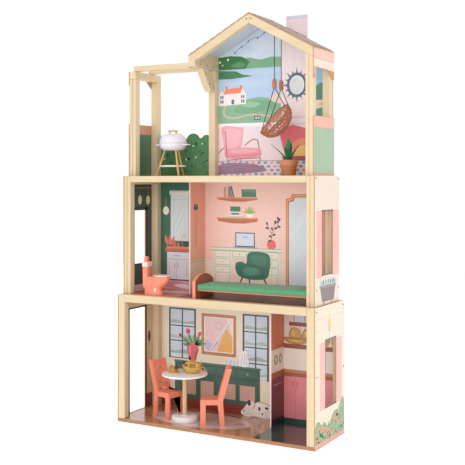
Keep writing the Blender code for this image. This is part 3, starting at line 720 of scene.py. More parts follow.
# Golden pans: a flat dish, a round kettle with its loop handle, and a second one at the side.
def kettles(wall):
    dish = soft(*mm(132, 246, 150, 238, 186, 237, 206, 246, 204, 254, 168, 252, 134, 254))
    round1 = soft(*mm(150, 254, 147, 268, 154, 280, 166, 283, 178, 278, 184, 266, 182, 254))
    round2 = soft(*mm(190, 250, 187, 266, 196, 279, 212, 282, 226, 272, 228, 256, 222, 246))
    wall.fill((206, 160, 84), round2, round1)
    wall.fill((232, 194, 120), soft(*mm(155, 262, 154, 272, 160, 277, 165, 268, 162, 258)),
              soft(*mm(196, 260, 196, 270, 203, 275, 206, 264)))
    wall.fill((190, 142, 66), dish)
    wall.fill((224, 182, 104), soft(*mm(142, 246, 166, 242, 190, 244, 166, 248)))
    wall.line((120, 84, 38), 0.0011, round1 + round1[:1], round2 + round2[:1], dish + dish[:1],
              curve(*mm(152, 276, 156, 290, 168, 293, 180, 288, 182, 274)),
              curve(*mm(192, 274, 204, 291, 222, 288, 226, 272)))
    wall.fill((206, 160, 84), oval(0.256, 0.254, 0.018, 0.018, 20), oval(0.290, 0.252, 0.014, 0.016, 20))


def lowerPartition():
    lo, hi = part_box("kitchen_partition")
    front, back = lo[1], hi[1]
    wall = Wall("kitchenPartitionArt", rightFace(hi[0]))
    span = (front, back)
    wall.fill((196, 106, 76), rect(*span, 0.226, hi[2]))
    wall.fill((212, 126, 92), rect(span[0] + 0.006, span[0] + 0.072, 0.236, hi[2] - 0.012))
    wall.line((150, 72, 48), 0.0011, [(span[0] + 0.039, 0.236), (span[0] + 0.039, hi[2] - 0.012)])
    wall.fill((236, 218, 206), rect(*span, 0.162, 0.226))
    wall.fill((120, 136, 116), oval(0.045, 0.196, 0.012, 0.014), oval(0.074, 0.196, 0.010, 0.014))
    wall.fill((226, 212, 170), oval(0.045, 0.196, 0.006, 0.008), oval(0.074, 0.196, 0.005, 0.008))
    wall.fill((166, 98, 62), rect(*span, 0.145, 0.162))
    wall.fill((112, 60, 62), rect(*span, 0.030, 0.145))
    wall.frameLine((76, 40, 44), 0.0012, rect(span[0] + 0.010, span[1] - 0.010, 0.046, 0.112))
    wall.line((214, 190, 180), 0.0016, [(span[0] + 0.014, 0.126), (span[1] - 0.014, 0.126)])
    wall.fill((36, 34, 38), rect(*span, lo[2], 0.030))
    wall.done()
    edge = Wall("kitchenPartitionEdge", lambda u, v, h: Vector((u, front - h, v)))
    edge.fill((244, 222, 216), rect(lo[0], hi[0], lo[2], hi[2]))
    edge.done()


def bathWall():
    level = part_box("middle_panel_back")[0][1]
    wall = Wall("bathAndBedroomArt", backFace(level))
    base, top = 0.3724, 0.7145
    wall.fill((64, 112, 92), rect(-0.303, -0.126, base, top))
    wall.line((42, 82, 68), 0.0012, *uprights([-0.300 + 0.0088 * i for i in range(20)], base, top))
    wall.fill((226, 230, 232), rect(-0.247, -0.182, 0.520, 0.671))
    wall.fill((238, 234, 232), rect(-0.251, -0.170, 0.660, 0.6735))
    wall.frameLine((150, 158, 162), 0.0011, rect(-0.247, -0.182, 0.520, 0.671))
    wall.line((206, 214, 220), 0.003, mm(-236, 560, -200, 640), mm(-226, 548, -194, 618))
    wall.line((176, 184, 188), 0.0009, mm(-247, 648, -182, 648), mm(-236, 648, -236, 520))
    wall.line((228, 196, 120), 0.0012, mm(-264, 650, -264, 624))
    wall.fill((250, 240, 222), oval(-0.264, 0.612, 0.011, 0.013))
    wall.line((222, 150, 120), 0.0009, oval(-0.264, 0.612, 0.011, 0.013) + [(-0.253, 0.612)])
    wall.fill((222, 112, 84), rect(-0.266, -0.181, 0.488, 0.498))
    wall.fill((240, 142, 112), rect(-0.262, -0.178, 0.496, 0.503))
    for u, v, turn in ((-0.258, 0.504, 104), (-0.252, 0.504, 84), (-0.248, 0.504, 64)):
        wall.fill((238, 128, 112), leaf(u, v, 0.036, turn, 0.3))
    wall.fill((232, 108, 88), rect(-0.240, -0.228, 0.503, 0.522), rect(-0.224, -0.216, 0.503, 0.514))
    wall.fill((54, 84, 70), rect(-0.212, -0.182, 0.503, 0.520))
    wall.line((232, 150, 96), 0.0016, curve(*mm(-204, 503, -206, 530, -198, 540, -192, 528)))
    wall.fill((240, 234, 240), rect(-0.260, -0.181, 0.403, 0.486))
    wall.line((176, 170, 186), 0.0011, mm(-260, 464, -181, 464), mm(-226, 403, -226, 464),
              mm(-260, 403, -260, 486), mm(-252, 410, -252, 458), mm(-190, 410, -190, 458))
    wall.line((228, 124, 134), 0.0020, mm(-232, 436, -232, 452), mm(-220, 436, -220, 452),
              mm(-236, 475, -214, 475))
    wall.fill((236, 196, 204), rect(-0.303, -0.126, base, 0.399))
    wall.fill((222, 150, 164), soft(*mm(-280, 380, -240, 398, -190, 392, -150, 384, -200, 374)))
    wall.fill((250, 232, 236), soft(*mm(-236, 384, -200, 390, -160, 380, -196, 376)))
    bedroomWall(wall, base, top)
    wall.done()


def bedroomWall(wall, base, top):
    wall.fill(wallInk["pinkWall"], rect(-0.126, 0.303, base, top))
    wall.fill(wallInk["wainscot"], rect(-0.126, 0.303, base, 0.474))
    wall.line((206, 176, 160), 0.0012, mm(-126, 474, 303, 474), mm(-126, 468, 303, 468))
    wall.line((226, 200, 184), 0.0008, *uprights([-0.118 + 0.027 * i for i in range(16)], base, 0.466))
    for lowV, highV in ((0.642, 0.655), (0.578, 0.595)):
        wall.fill((196, 112, 80), [(-0.084, highV - 0.001), (-0.079, lowV + 0.006), (-0.030, lowV),
                                   (0.010, lowV), (0.051, lowV + 0.006), (0.055, highV - 0.001)])
        wall.fill((222, 142, 104), rect(-0.084, 0.055, highV - 0.004, highV))
    for u, width, height, lean, colour in ((-0.060, 0.007, 0.030, 0, (196, 150, 148)),
                                           (-0.052, 0.006, 0.033, 0, (226, 186, 176)),
                                           (-0.045, 0.007, 0.028, 0, (178, 120, 112)),
                                           (-0.036, 0.005, 0.034, 0.008, (120, 128, 124)),
                                           (-0.029, 0.005, 0.033, 0.009, (84, 104, 100))):
        wall.fill(colour, [(u, 0.655), (u + width, 0.655), (u + width - lean, 0.655 + height),
                           (u - lean, 0.655 + height)])
    wall.fill((74, 128, 104), rect(0.000, 0.048, 0.656, 0.679))
    wall.fill((96, 150, 124), rect(0.003, 0.048, 0.670, 0.679))
    wall.line((44, 84, 68), 0.001, mm(20, 664, 20, 669, 30, 669, 30, 664))
    wall.fill((74, 128, 104), rect(-0.038, -0.004, 0.613, 0.628), rect(-0.035, -0.008, 0.604, 0.610))
    wall.fill((238, 232, 220), rect(-0.044, 0.002, 0.600, 0.604), rect(-0.040, -0.006, 0.609, 0.613))
    wall.fill((196, 210, 190), rect(-0.050, 0.006, 0.595, 0.600))
    wall.fill((250, 240, 226), soft(*mm(20, 596, 34, 596, 37, 608, 17, 608)))
    for turn in (20, 50, 75, 100, 130, 160):
        wall.fill((166, 178, 92), leaf(0.027, 0.607, 0.024, turn, 0.22))
    desk(wall)
    mirror(wall)


def desk(wall):
    line = (120, 132, 116)
    wall.fill((232, 228, 208), rect(-0.105, 0.132, 0.498, 0.506))
    wall.fill((236, 230, 210), rect(-0.094, -0.034, 0.428, 0.498), rect(0.074, 0.124, 0.428, 0.498),
              rect(-0.034, 0.074, 0.476, 0.498))
    wall.line(line, 0.0012, mm(-105, 498, 132, 498), mm(-105, 506, 132, 506))
    drawers = [rect(-0.090, -0.038, v, v + 0.018) for v in (0.478, 0.455, 0.432)]
    drawers += [rect(0.078, 0.120, v, v + 0.018) for v in (0.478, 0.455, 0.432)]
    drawers += [rect(-0.030, 0.016, 0.480, 0.496), rect(0.022, 0.070, 0.480, 0.496)]
    for shape in drawers:
        wall.frameLine(line, 0.0010, shape)
        wall.fill((206, 150, 96), oval((shape[0][0] + shape[1][0]) / 2, (shape[0][1] + shape[2][1]) / 2,
                                       0.0024, 0.0016, 8))
    legs = [rect(u, u + 0.006, 0.400, 0.428) for u in (-0.092, -0.044, 0.078, 0.114)]
    wall.fill((214, 208, 186), *legs)
    wall.fill((74, 82, 96), rect(-0.021, 0.044, 0.510, 0.552))
    wall.fill((216, 222, 238), rect(-0.018, 0.041, 0.513, 0.549))
    wall.line((96, 104, 124), 0.0011, curve(*mm(4, 536, 8, 540, 12, 536, 16, 540, 20, 536)))
    wall.fill((150, 158, 176), rect(-0.028, 0.052, 0.506, 0.510))
    wall.fill((236, 108, 112), soft(*mm(88, 508, 108, 508, 112, 522, 104, 532, 91, 532, 84, 522)))
    wall.line((110, 92, 86), 0.0011, curve(*mm(98, 530, 100, 556, 110, 584)),
              curve(*mm(100, 548, 90, 566, 86, 576)), curve(*mm(100, 552, 112, 566, 122, 590)))
    leaves = [leaf(u, v, 0.013, t, 0.5) for u, v, t in ((0.100, 0.540, 150), (0.100, 0.546, 20),
            (0.104, 0.560, 130), (0.106, 0.566, 10), (0.110, 0.578, 90), (0.112, 0.582, 30),
            (0.090, 0.566, 170), (0.086, 0.574, 110), (0.116, 0.574, 340), (0.120, 0.586, 60),
            (0.122, 0.590, 120), (0.098, 0.532, 200))]
    wall.fill((84, 76, 78), *leaves)
    wall.fill((120, 74, 58), mm(0, 420, 6, 420, -4, 402, -8, 402),
              mm(70, 420, 76, 420, 84, 402, 80, 402), rect(0.024, 0.029, 0.404, 0.420))
    wall.fill((58, 112, 92), soft(*mm(-8, 424, -20, 444, -18, 462, 0, 466, 16, 462, 20, 488, 40, 497, 80,
                                      494, 94, 480, 92, 446, 80, 420, 30, 415)))
    wall.fill((82, 140, 116), soft(*mm(6, 446, 24, 452, 50, 448, 60, 434, 30, 426, 8, 430)))
    wall.fill((74, 128, 106), soft(*mm(30, 486, 70, 486, 82, 474, 76, 456, 40, 462)))
    wall.line((36, 78, 64), 0.0012, curve(*mm(16, 462, 30, 456, 60, 454, 72, 440, 72, 422)))


def mirror(wall):
    def outline(inset):
        u0, u1, v0, v1, cut = 0.144 + inset, 0.2650 - inset, 0.404 + inset * 0.2, 0.666 - inset, 0.014
        return [(u0, v0), (u1, v0), (u1, v1 - cut), (u1 - cut, v1 - cut * 0.8), (u1 - cut * 1.4, v1),
                (u0 + cut * 1.4, v1), (u0 + cut, v1 - cut * 0.8), (u0, v1 - cut)]
    wall.fill((196, 122, 76), outline(0))
    wall.fill((232, 176, 120), outline(0.003))
    wall.fill((190, 116, 72), outline(0.006))
    wall.fill((216, 224, 232), outline(0.010))
    wall.line((221, 228, 236), 0.010, mm(160, 470, 230, 560), mm(160, 540, 220, 630))
    wall.line((211, 219, 228), 0.005, mm(160, 430, 230, 520), mm(170, 590, 206, 640))


def bathPartition():
    wall, lo, hi = rightWall("bathPartitionArt", "bath_partition")
    front, back = lo[1], hi[1]
    wall.fill((228, 160, 136), rect(front, back, lo[2], hi[2]))
    wall.fill((214, 182, 156), rect(front, back, lo[2], 0.474))
    wall.line((176, 128, 104), 0.0014, [(front, 0.474), (back, 0.474)], [(front, 0.466), (back, 0.466)])
    wall.line((120, 78, 70), 0.0012, mm(20, 622, 26, 512), mm(32, 622, 28, 512))
    wall.fill((66, 56, 62), rect(0.014, 0.038, 0.618, 0.626), oval(0.020, 0.630, 0.005, 0.006, 10),
              oval(0.032, 0.630, 0.005, 0.006, 10))
    wall.done()
    left = Wall("bathPartitionLeftArt", lambda u, v, h: Vector((lo[0] - h, u, v)))
    left.fill((64, 112, 92), rect(front, back, lo[2], hi[2]))
    left.line((42, 82, 68), 0.0012, *uprights([front + 0.0088 * i for i in range(1, 10)], lo[2], hi[2]))
    left.done()
    edge = Wall("bathPartitionEdge", lambda u, v, h: Vector((u, front - h, v)))
    edge.fill((240, 214, 202), rect(lo[0], hi[0], lo[2], hi[2]))
    edge.done()


def lakeWall():
    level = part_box("room_panel_back")[0][1]
    wall = Wall("roomArt", backFace(level))
    base = 0.7186
    left, right = -0.0905, 0.294
    roofAt = lambda u: 1.166 - 0.54 * abs(u - 0.1025) - 0.004
    wall.fill((204, 220, 236), [(left, base), (right, base), (right, roofAt(right)),
                                (0.1025, roofAt(0.1025)), (left, roofAt(left))])
    wall.fill((216, 224, 236), soft(*mm(40, 1098, 80, 1118, 128, 1120, 132, 1090, 100, 1078, 60, 1082)))
    wall.fill((213, 224, 238), soft(*mm(0, 1066, 40, 1078, 80, 1072, 50, 1062)))
    wall.fill((122, 172, 132), [(left, 1.030), (0.1350, 1.030), (0.1350, 1.058), (0.104, 1.060),
                                (0.070, 1.054), (0.030, 1.062), (left, 1.058)])
    wall.fill((62, 122, 74), [(left, 1.030), (0.020, 1.030), (0.034, 1.050), (0.010, 1.066),
                              (-0.030, 1.070), (left, 1.066)])
    wall.fill((92, 150, 96), soft(*mm(-30, 1040, 0, 1052, 20, 1044, 8, 1034)))
    wall.fill((182, 208, 234), rect(left, 0.1350, 0.930, 1.030))
    wall.fill((190, 213, 237), soft(*mm(-40, 990, 20, 1000, 80, 992, 60, 976, 0, 978)),
              soft(*mm(20, 1018, 70, 1022, 130, 1018, 80, 1012)))
    wall.fill((72, 128, 92), [(left, 1.004), (-0.030, 1.002), (0.046, 1.008), (0.010, 1.014),
                              (-0.010, 1.024), (left, 1.030)])
    wall.fill((136, 182, 152), [(left, 0.870), (0.1350, 0.870), (0.1350, 0.930), (0.110, 0.942),
                                (0.060, 0.946), (0.010, 0.938), (-0.040, 0.930), (left, 0.928)])
    wall.fill((122, 172, 136), soft(*mm(-20, 912, 30, 934, 90, 936, 120, 916, 60, 902, 10, 900)))
    wall.fill((150, 196, 160), soft(*mm(10, 924, 40, 934, 70, 926, 40, 916)))
    wall.fill((238, 214, 190), soft(*mm(98, 940, 112, 952, 134, 952, 134, 926, 114, 930)))
    wall.line((206, 188, 158), 0.006, curve(*mm(-46, 926, -52, 908, -44, 892, -10, 888, 40, 896, 100, 890,
            134, 884)))
    farmhouse(wall)
    wall.fill((244, 224, 228), rect(left, right, base, 0.866))
    wall.fill((250, 244, 246), rect(left, 0.140, 0.862, 0.872))
    pinkRight = [(0.1350, base), (right, base), (right, roofAt(right)), (0.1350, roofAt(0.1350))]
    wall.fill((244, 226, 226), pinkRight)
    wall.line((230, 206, 208), 0.0012, *[[(u, 0.880), (u, roofAt(u) - 0.004)]
                                         for u in (0.150, 0.176, 0.202, 0.228, 0.254, 0.280)])
    wall.fill((232, 206, 206), rect(0.160, right, 0.880, 0.888), rect(0.160, right, 0.862, 0.868))
    wall.line((238, 214, 216), 0.0010, *uprights((0.010, 0.060, 0.086, 0.112, 0.138), 0.766, 0.862))
    sideWindow(wall)
    sunMirror(wall)
    poster(wall)
    garland(wall)
    armchair(wall)
    rug(wall, left, right, base)
    wall.done()


def sideWindow(wall):
    left, right, low, high = 0.2440, 0.2760, 0.880, 1.020
    wall.fill((206, 176, 164), rect(left - 0.003, right + 0.003, low - 0.003, high + 0.003))
    wall.fill((150, 196, 228), rect(left, right, low, high))
    wall.fill((84, 136, 108), [(left, 0.930), (right, 0.930), (right, 0.972), (left + 0.014, 0.978),
                               (left, 0.970)])
    wall.fill((236, 220, 190), rect(left, right, 0.906, 0.930))
    wall.fill((244, 190, 150), oval(0.258, 0.918, 0.006, 0.006, 12))
    wall.fill((92, 150, 116), soft((left, 0.882), (right, 0.882), (right, 0.900), (0.262, 0.908),
                                   (left, 0.902)))


def garland(wall):
    bends = mm(89.5, 1135, 81.5, 1130.9, 70, 1121.5, 59.9, 1118.1, 44, 1116.5, 29.9, 1110.6, 19, 1100,
               7.9, 1095.2, -4, 1088, -14.3, 1078.2)
    wall.line((70, 72, 84), 0.0010, curve(*bends))
    wall.fill((52, 54, 64), *[oval(u, v - 0.001, 0.0022, 0.0026, 9) for u, v in bends[1::2]])
    wall.fill((240, 240, 214), oval(-0.0377, 1.0592, 0.0034, 0.0038, 14),
              oval(-0.0648, 1.0535, 0.0034, 0.0038, 14), oval(-0.056, 1.0440, 0.0022, 0.0024, 10))
    wall.fill((92, 84, 100), rect(0.049, 0.069, 0.880, 0.892))
    wall.fill((236, 232, 236), rect(0.053, 0.058, 0.883, 0.889), rect(0.061, 0.066, 0.883, 0.889))


def farmhouse(wall):
    wall.fill((240, 236, 236), mm(-68, 924, 22, 928, 22, 960, 12, 974, 2, 962, -50, 960, -58, 970, -68,
                                  958))
    wall.fill((244, 134, 104), mm(-52, 958, 4, 960, 10, 976, -46, 974))
    wall.fill((226, 108, 82), rect(-0.046, -0.040, 0.974, 0.981), rect(0.003, 0.009, 0.976, 0.983))
    wall.line((236, 150, 130), 0.0016, mm(-70, 956, -59, 972, -50, 958), mm(2, 960, 13, 976, 24, 960))
    panes = [rect(u, u + 0.0045, v, v + 0.009) for u in (-0.0640, -0.0575, 0.0060, 0.0125)
             for v in (0.932, 0.945)]
    wall.fill((96, 104, 124), *panes, rect(-0.026, -0.017, 0.928, 0.942))


def sunMirror(wall):
    centre = (0.185, 0.975)
    spikes = []
    for i in range(16):
        turn = 2 * math.pi * i / 16
        reach = 0.046 if i % 2 == 0 else 0.040
        points = [(0.028, -0.13), (reach, 0.0), (0.028, 0.13)]
        spikes.append([(centre[0] + r * math.cos(turn + t), centre[1] + r * 1.12 * math.sin(turn + t))
                       for r, t in points])
    wall.fill((104, 116, 142), *spikes)
    wall.fill((92, 104, 130), oval(*centre, 0.031, 0.035, 40))
    wall.fill((232, 234, 236), oval(*centre, 0.023, 0.027, 36))
    wall.fill((216, 222, 224), oval(centre[0] - 0.002, centre[1] - 0.002, 0.019, 0.022, 36))
    wall.line((238, 240, 240), 0.0022, mm(174, 966, 188, 990), mm(180, 962, 196, 986))


def poster(wall):
    wall.fill((222, 108, 118), mm(128, 846, 172, 862, 250, 842, 292, 800, 292, 770, 150, 770))
    wall.fill((240, 146, 112), mm(150, 770, 160, 806, 200, 826, 244, 812, 270, 770))
    wall.fill((250, 206, 112), mm(170, 770, 178, 792, 204, 806, 232, 794, 246, 770))
    wall.fill((178, 82, 88), rect(0.140, 0.294, 0.762, 0.774))
    wall.line((196, 88, 100), 0.0016, mm(128, 846, 172, 862, 250, 842))


def armchair(wall):
    wood = (176, 112, 110)
    wall.line(wood, 0.0032, curve(*mm(-78, 756, -70, 784, -52, 800, -30, 812, -14, 806, -10, 760)),
              curve(*mm(18, 806, 40, 822, 60, 820, 66, 788, 70, 756)))
    wall.fill((244, 166, 178), soft(*mm(-56, 862, 0, 860, 14, 856, 8, 812, -2, 786, -44, 774, -52, 812)))
    wall.fill((250, 184, 194), soft(*mm(-48, 854, 4, 852, 0, 812, -10, 800, -44, 802)))
    wall.fill((240, 152, 168), soft(*mm(-44, 790, -6, 800, 60, 798, 72, 788, 66, 774, 0, 768, -44, 772)))
    wall.fill((248, 176, 188), soft(*mm(-36, 790, -4, 798, 58, 795, 46, 786, -10, 784)))
    wall.line((206, 108, 128), 0.0010, curve(*mm(-44, 774, -8, 776, 66, 780)),
              curve(*mm(-50, 850, -46, 810, -42, 780)))
    wall.line(wood, 0.0024, mm(-46, 850, -40, 756), curve(*mm(-40, 764, 10, 768, 66, 770)),
              mm(4, 768, 6, 752))


def rug(wall, left, right, base):
    wall.fill((236, 224, 226), rect(left, right, base, 0.762))
    wall.line((120, 112, 136), 0.0016, [(left, 0.7615), (right, 0.7615)])
    blue = []
    pink = []
    count = 19
    for row in range(4):
        v = base + 0.005 + 0.0108 * row
        for i in range(count):
            u = left + (right - left) * (i + 0.5 * (row % 2)) / count + 0.004
            if u > right - 0.008:
                continue
            kite = [(u, v - 0.0046), (u + 0.0072, v), (u, v + 0.0046), (u - 0.0072, v)]
            (blue if (i + row) % 3 else pink).append(kite)
    wall.fill((96, 108, 152), *blue)
    wall.fill((222, 136, 140), *pink)
    hearts = []
    for kite in blue + pink:
        middleU, middleV = kite[0][0], kite[0][1] + 0.0046
        hearts.append([(u * 0.4 + middleU * 0.6, v * 0.4 + middleV * 0.6) for u, v in kite])
    wall.fill((236, 226, 228), *hearts)
    wall.fill((156, 128, 156), soft(*mm(-80, 724, -60, 752, 0, 756, 70, 748, 84, 732, 20, 726)))
    stripes = [curve((-0.070 + 0.006 * k, 0.726 + 0.005 * k), (0.000, 0.730 + 0.005 * k),
                     (0.076 - 0.004 * k, 0.734 + 0.004 * k)) for k in range(5)]
    wall.line((110, 112, 150), 0.0016, *stripes)
    wall.line((216, 128, 140), 0.0010, *[[(u, v + 0.0024) for u, v in path] for path in stripes])


def hedge():
    lo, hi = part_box("hedge_panel")
    wall = Wall("hedgeArt", backFace(lo[1]))
    # The fill keeps inside the board's scalloped top edge.
    top = [(lo[0], 0.828), (-0.284, 0.828), (-0.262, 0.840), (-0.240, 0.828), (-0.234, 0.826),
           (-0.210, 0.844), (-0.186, 0.828), (-0.158, 0.844), (-0.137, 0.830), (-0.112, 0.839),
           (-0.098, 0.830), (hi[0], 0.830)]
    wall.fill((74, 128, 82), [(lo[0], lo[2]), (hi[0], lo[2])] + top[::-1])
    spots = []
    light = []
    blooms = []
    for i in range(60):
        u = -0.288 + 0.190 * ((i * 0.618) % 1)
        v = 0.728 + 0.090 * ((i * 0.414) % 1)
        shape = [(a, b) for a, b in leaf(u, v, 0.012, 40 + 97 * i, 0.6)]
        (spots if i % 2 else light).append(shape)
        if i % 6 == 0:
            blooms.append(oval(u + 0.004, v + 0.002, 0.0024, 0.0026, 9))
    wall.fill((50, 100, 64), *spots)
    wall.fill((90, 144, 94), *light)
    wall.fill((242, 240, 196), *blooms)
    wall.done()


def leftInside():
    wall = rightWall("diningLeftArt", "bottom_panel_left")[0]
    frontY, backY, top = -0.078, 0.0975, 0.3685
    door = (-0.043, 0.038, 0.319)
    around = [rect(frontY, door[0], 0.0105, top), rect(door[1], backY, 0.0105, top),
              rect(door[0], door[1], door[2], top)]
    wall.fill((212, 186, 150), *around)
    wall.fill((128, 46, 34), rect(door[1], backY, 0.0105, 0.051), rect(frontY, door[0], 0.0105, 0.051))
    wall.fill((44, 40, 42), rect(door[1], door[1] + 0.009, 0.0105, 0.324),
              rect(door[0] - 0.009, door[0], 0.0105, 0.324), rect(door[0] - 0.009, door[1] + 0.009,
            door[2], 0.324))
    wall.line((186, 158, 124), 0.0009, *uprights((0.056, 0.070, 0.084, -0.060, -0.070), 0.055, top))
    wall.fill((120, 44, 44), oval(0.060, 0.226, 0.007, 0.018, 16))
    wall.line((70, 30, 34), 0.0012, oval(0.060, 0.226, 0.004, 0.012, 16, 0, 300), mm(60, 208, 60, 196))
    wall.done()
    wall = rightWall("bathLeftArt", "middle_panel_left")[0]
    frontY, backY, base, top = -0.0610, 0.0800, 0.3728, 0.7145
    a, b, c, d = -0.030, 0.027, 0.455, 0.615
    around = boardAround((frontY, backY, base, top), (a, b, c, d))
    wall.fill((56, 70, 58), *around)
    wall.fill((236, 196, 204), rect(frontY, backY, base, 0.392))
    wall.fill((44, 40, 44), rect(a - 0.010, a, c - 0.006, d + 0.010),
              rect(b, b + 0.012, c - 0.006, d + 0.010), rect(a - 0.010, b + 0.012, c - 0.006, c),
              rect(a - 0.010, b + 0.012, d, d + 0.010))
    wall.line((160, 128, 96), 0.0026, mm(-28, 682, 63, 682))
    wall.line((70, 48, 40), 0.0014, curve(*mm(-28, 686, -6, 694, 18, 686, 40, 694, 63, 686)))
    for u, v in ((-0.002, 0.646), (0.041, 0.645)):
        wall.line((150, 120, 92), 0.0012, [(u, 0.680), (u, v + 0.014)])
        wall.fill((232, 220, 190), oval(u, v, 0.010, 0.014, 20))
        wall.line((182, 150, 110), 0.0009, oval(u, v, 0.010, 0.014, 20) + [(u + 0.010, v)],
                  [(u, v - 0.008), (u, v + 0.010)])
    wall.done()


def rightOutside():
    wall, lo, hi = rightWall("kitchenSideArt", "bottom_panel_right")
    a, b, c, d = -0.0325, 0.039, 0.101, 0.277
    around = boardAround((lo[1], hi[1], lo[2], hi[2]), (a, b, c, d))
    wall.fill((232, 216, 194), *around)
    rows = [v for v in (0.010, 0.040, 0.070, 0.100, 0.130, 0.160, 0.190, 0.220, 0.250, 0.280, 0.310, 0.340)]
    wall.line((206, 188, 172), 0.0011, *levels(rows, lo[1], -0.072), *levels(rows, 0.081, hi[1]),
              *[[(-0.072, v), (0.081, v)] for v in rows if v > 0.279 or v < 0.099])
    shutters(wall, ((-0.071, a), (b, 0.0807)), 0.097, 0.275)
    wall.fill((74, 66, 70), rect(a - 0.003, a, c - 0.003, d + 0.003),
              rect(b, b + 0.003, c - 0.003, d + 0.003), rect(a - 0.003, b + 0.003, d, d + 0.004),
              rect(a - 0.003, b + 0.003, c - 0.004, c))
    wall.fill((228, 190, 118), mm(-10, 300, 0, 300, 3, 318, -1, 336, -5, 358, -9, 336, -13, 318))
    wall.line((150, 110, 70), 0.0010, mm(-5, 300, -5, 284), mm(-10, 284, 0, 284),
              mm(-10, 300, -13, 318, -9, 336))
    wall.fill((226, 148, 132), [(lo[1], lo[2]), (hi[1], lo[2]), (hi[1], 0.012), (lo[1], 0.010)])
    bushes(wall, lo[1], hi[1])
    wall.done(slot="cream_board")
    wall, lo, hi = rightWall("bedroomSideArt", "middle_panel_right")
    a, b, c, d = -0.033, 0.034, 0.454, 0.622
    around = boardAround((lo[1], hi[1], lo[2], hi[2]), (a, b, c, d))
    wall.fill((230, 214, 196), *around)
    shutters(wall, ((-0.0726, a), (b, 0.0804)), 0.446, 0.624)
    wall.fill((112, 84, 70), rect(a - 0.004, a, c - 0.004, d + 0.004),
              rect(b, b + 0.004, c - 0.004, d + 0.004), rect(a - 0.004, b + 0.004, d, d + 0.004),
              rect(a - 0.004, b + 0.004, c - 0.004, c))
    wall.fill((124, 108, 106), mm(-50, 422, 57, 422, 44, 380, -36, 380), rect(-0.026, -0.020, 0.374, 0.380),
              rect(0.024, 0.030, 0.374, 0.380))
    wall.fill((146, 130, 126), rect(-0.053, 0.060, 0.417, 0.424))
    sprigs = [leaf(-0.044 + 0.0088 * i, 0.422, 0.020, 78 + 12 * (-1) ** i, 0.42) for i in range(12)]
    wall.fill((164, 196, 194), *sprigs)
    wall.fill((110, 150, 150), *[leaf(-0.040 + 0.0150 * i, 0.422, 0.013, 90, 0.4) for i in range(7)])
    wall.done(slot="cream_board")


def shutters(wall, sides, low, high):
    for a, b in sides:
        wall.fill((238, 178, 166), rect(a, b, low, high))
        wall.frameLine((214, 142, 130), 0.0011, rect(a + 0.002, b - 0.002, low + 0.002, high - 0.002))
        wall.line((222, 154, 142), 0.0010, *levels([low + 0.010 + 0.0075 * i
                for i in range(int((high - low - 0.018) / 0.0075))], a + 0.006, b - 0.006))


def bushes(wall, front, back):
    crown = curve((front + 0.0004, 0.058), (-0.090, 0.072), (-0.074, 0.070), (-0.058, 0.058),
                  (-0.040, 0.064), (-0.020, 0.050), (0.006, 0.064), (0.030, 0.080), (0.050, 0.074),
                  (0.072, 0.098), (0.088, 0.106), (back - 0.0004, 0.088))
    wall.fill((134, 158, 116), [(front + 0.0004, 0.012), *crown, (back - 0.0004, 0.012)])
    leaves = []
    lights = []
    blooms = []
    for i in range(96):
        u = front + 0.016 + (back - front - 0.034) * ((i * 0.618) % 1)
        v = 0.018 + (0.036 + 0.040 * max(u, 0) / 0.09) * ((i * 0.367) % 1)
        (leaves if i % 2 else lights).append(leaf(u, v, 0.013, 57 * i, 0.5))
        if i % 5 == 0:
            blooms.append(oval(u - 0.003, v + 0.004, 0.0052, 0.0046, 9))
    wall.fill((96, 126, 84), *leaves)
    wall.fill((166, 184, 138), *lights)
    wall.fill((226, 132, 96), *blooms)


def fencesAndValances():
    wall, lo, hi = rightWall("rightFenceArt", "right_fence")
    wall.fill((158, 184, 152), rect(lo[1], hi[1], lo[2], hi[2]))
    wall.line((128, 158, 126), 0.0011, *[[(lo[1] + 0.0092 * i, lo[2]), (lo[1] + 0.0092 * i, 0.846)]
                                         for i in range(1, 15)])
    wall.fill((234, 172, 152), rect(lo[1], hi[1], 0.847, hi[2]))
    wall.fill((226, 152, 136), rect(lo[1], hi[1], lo[2], lo[2] + 0.006))
    wall.line((206, 140, 122), 0.0011, [(lo[1], 0.847), (hi[1], 0.847)])
    wall.done()
    wall, lo, hi = rightWall("leftFenceInsideArt", "left_fence")
    wall.fill((84, 124, 92), rect(lo[1], hi[1], lo[2], hi[2]))
    wall.line((54, 92, 66), 0.0016, *[[(lo[1] + 0.0092 * i, lo[2]), (lo[1] + 0.0092 * i, 0.842)]
                                      for i in range(1, 15)])
    wall.fill((206, 140, 112), rect(lo[1], hi[1], 0.843, hi[2]))
    wall.done()
    for name, top, band in (("right_valance", 1.0565, 1.030), ("left_valance", 1.0250, 1.012)):
        lo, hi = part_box(name)
        wall = Wall(f"{name}Art", rightFace(hi[0]))
        edge = 1.006 if name == "right_valance" else 1.005
        wall.fill((238, 216, 196), rect(lo[1], hi[1], edge, top))
        wall.fill((234, 190, 168), rect(lo[1], hi[1], band, top))
        wall.fill((224, 166, 140), rect(lo[1], -0.0615, 0.986, edge))
        wall.line((206, 146, 120), 0.0012, [(lo[1], band), (hi[1], band)],
                  [(-0.060, edge + 0.001), (0.026, edge + 0.001)])
        wall.done()


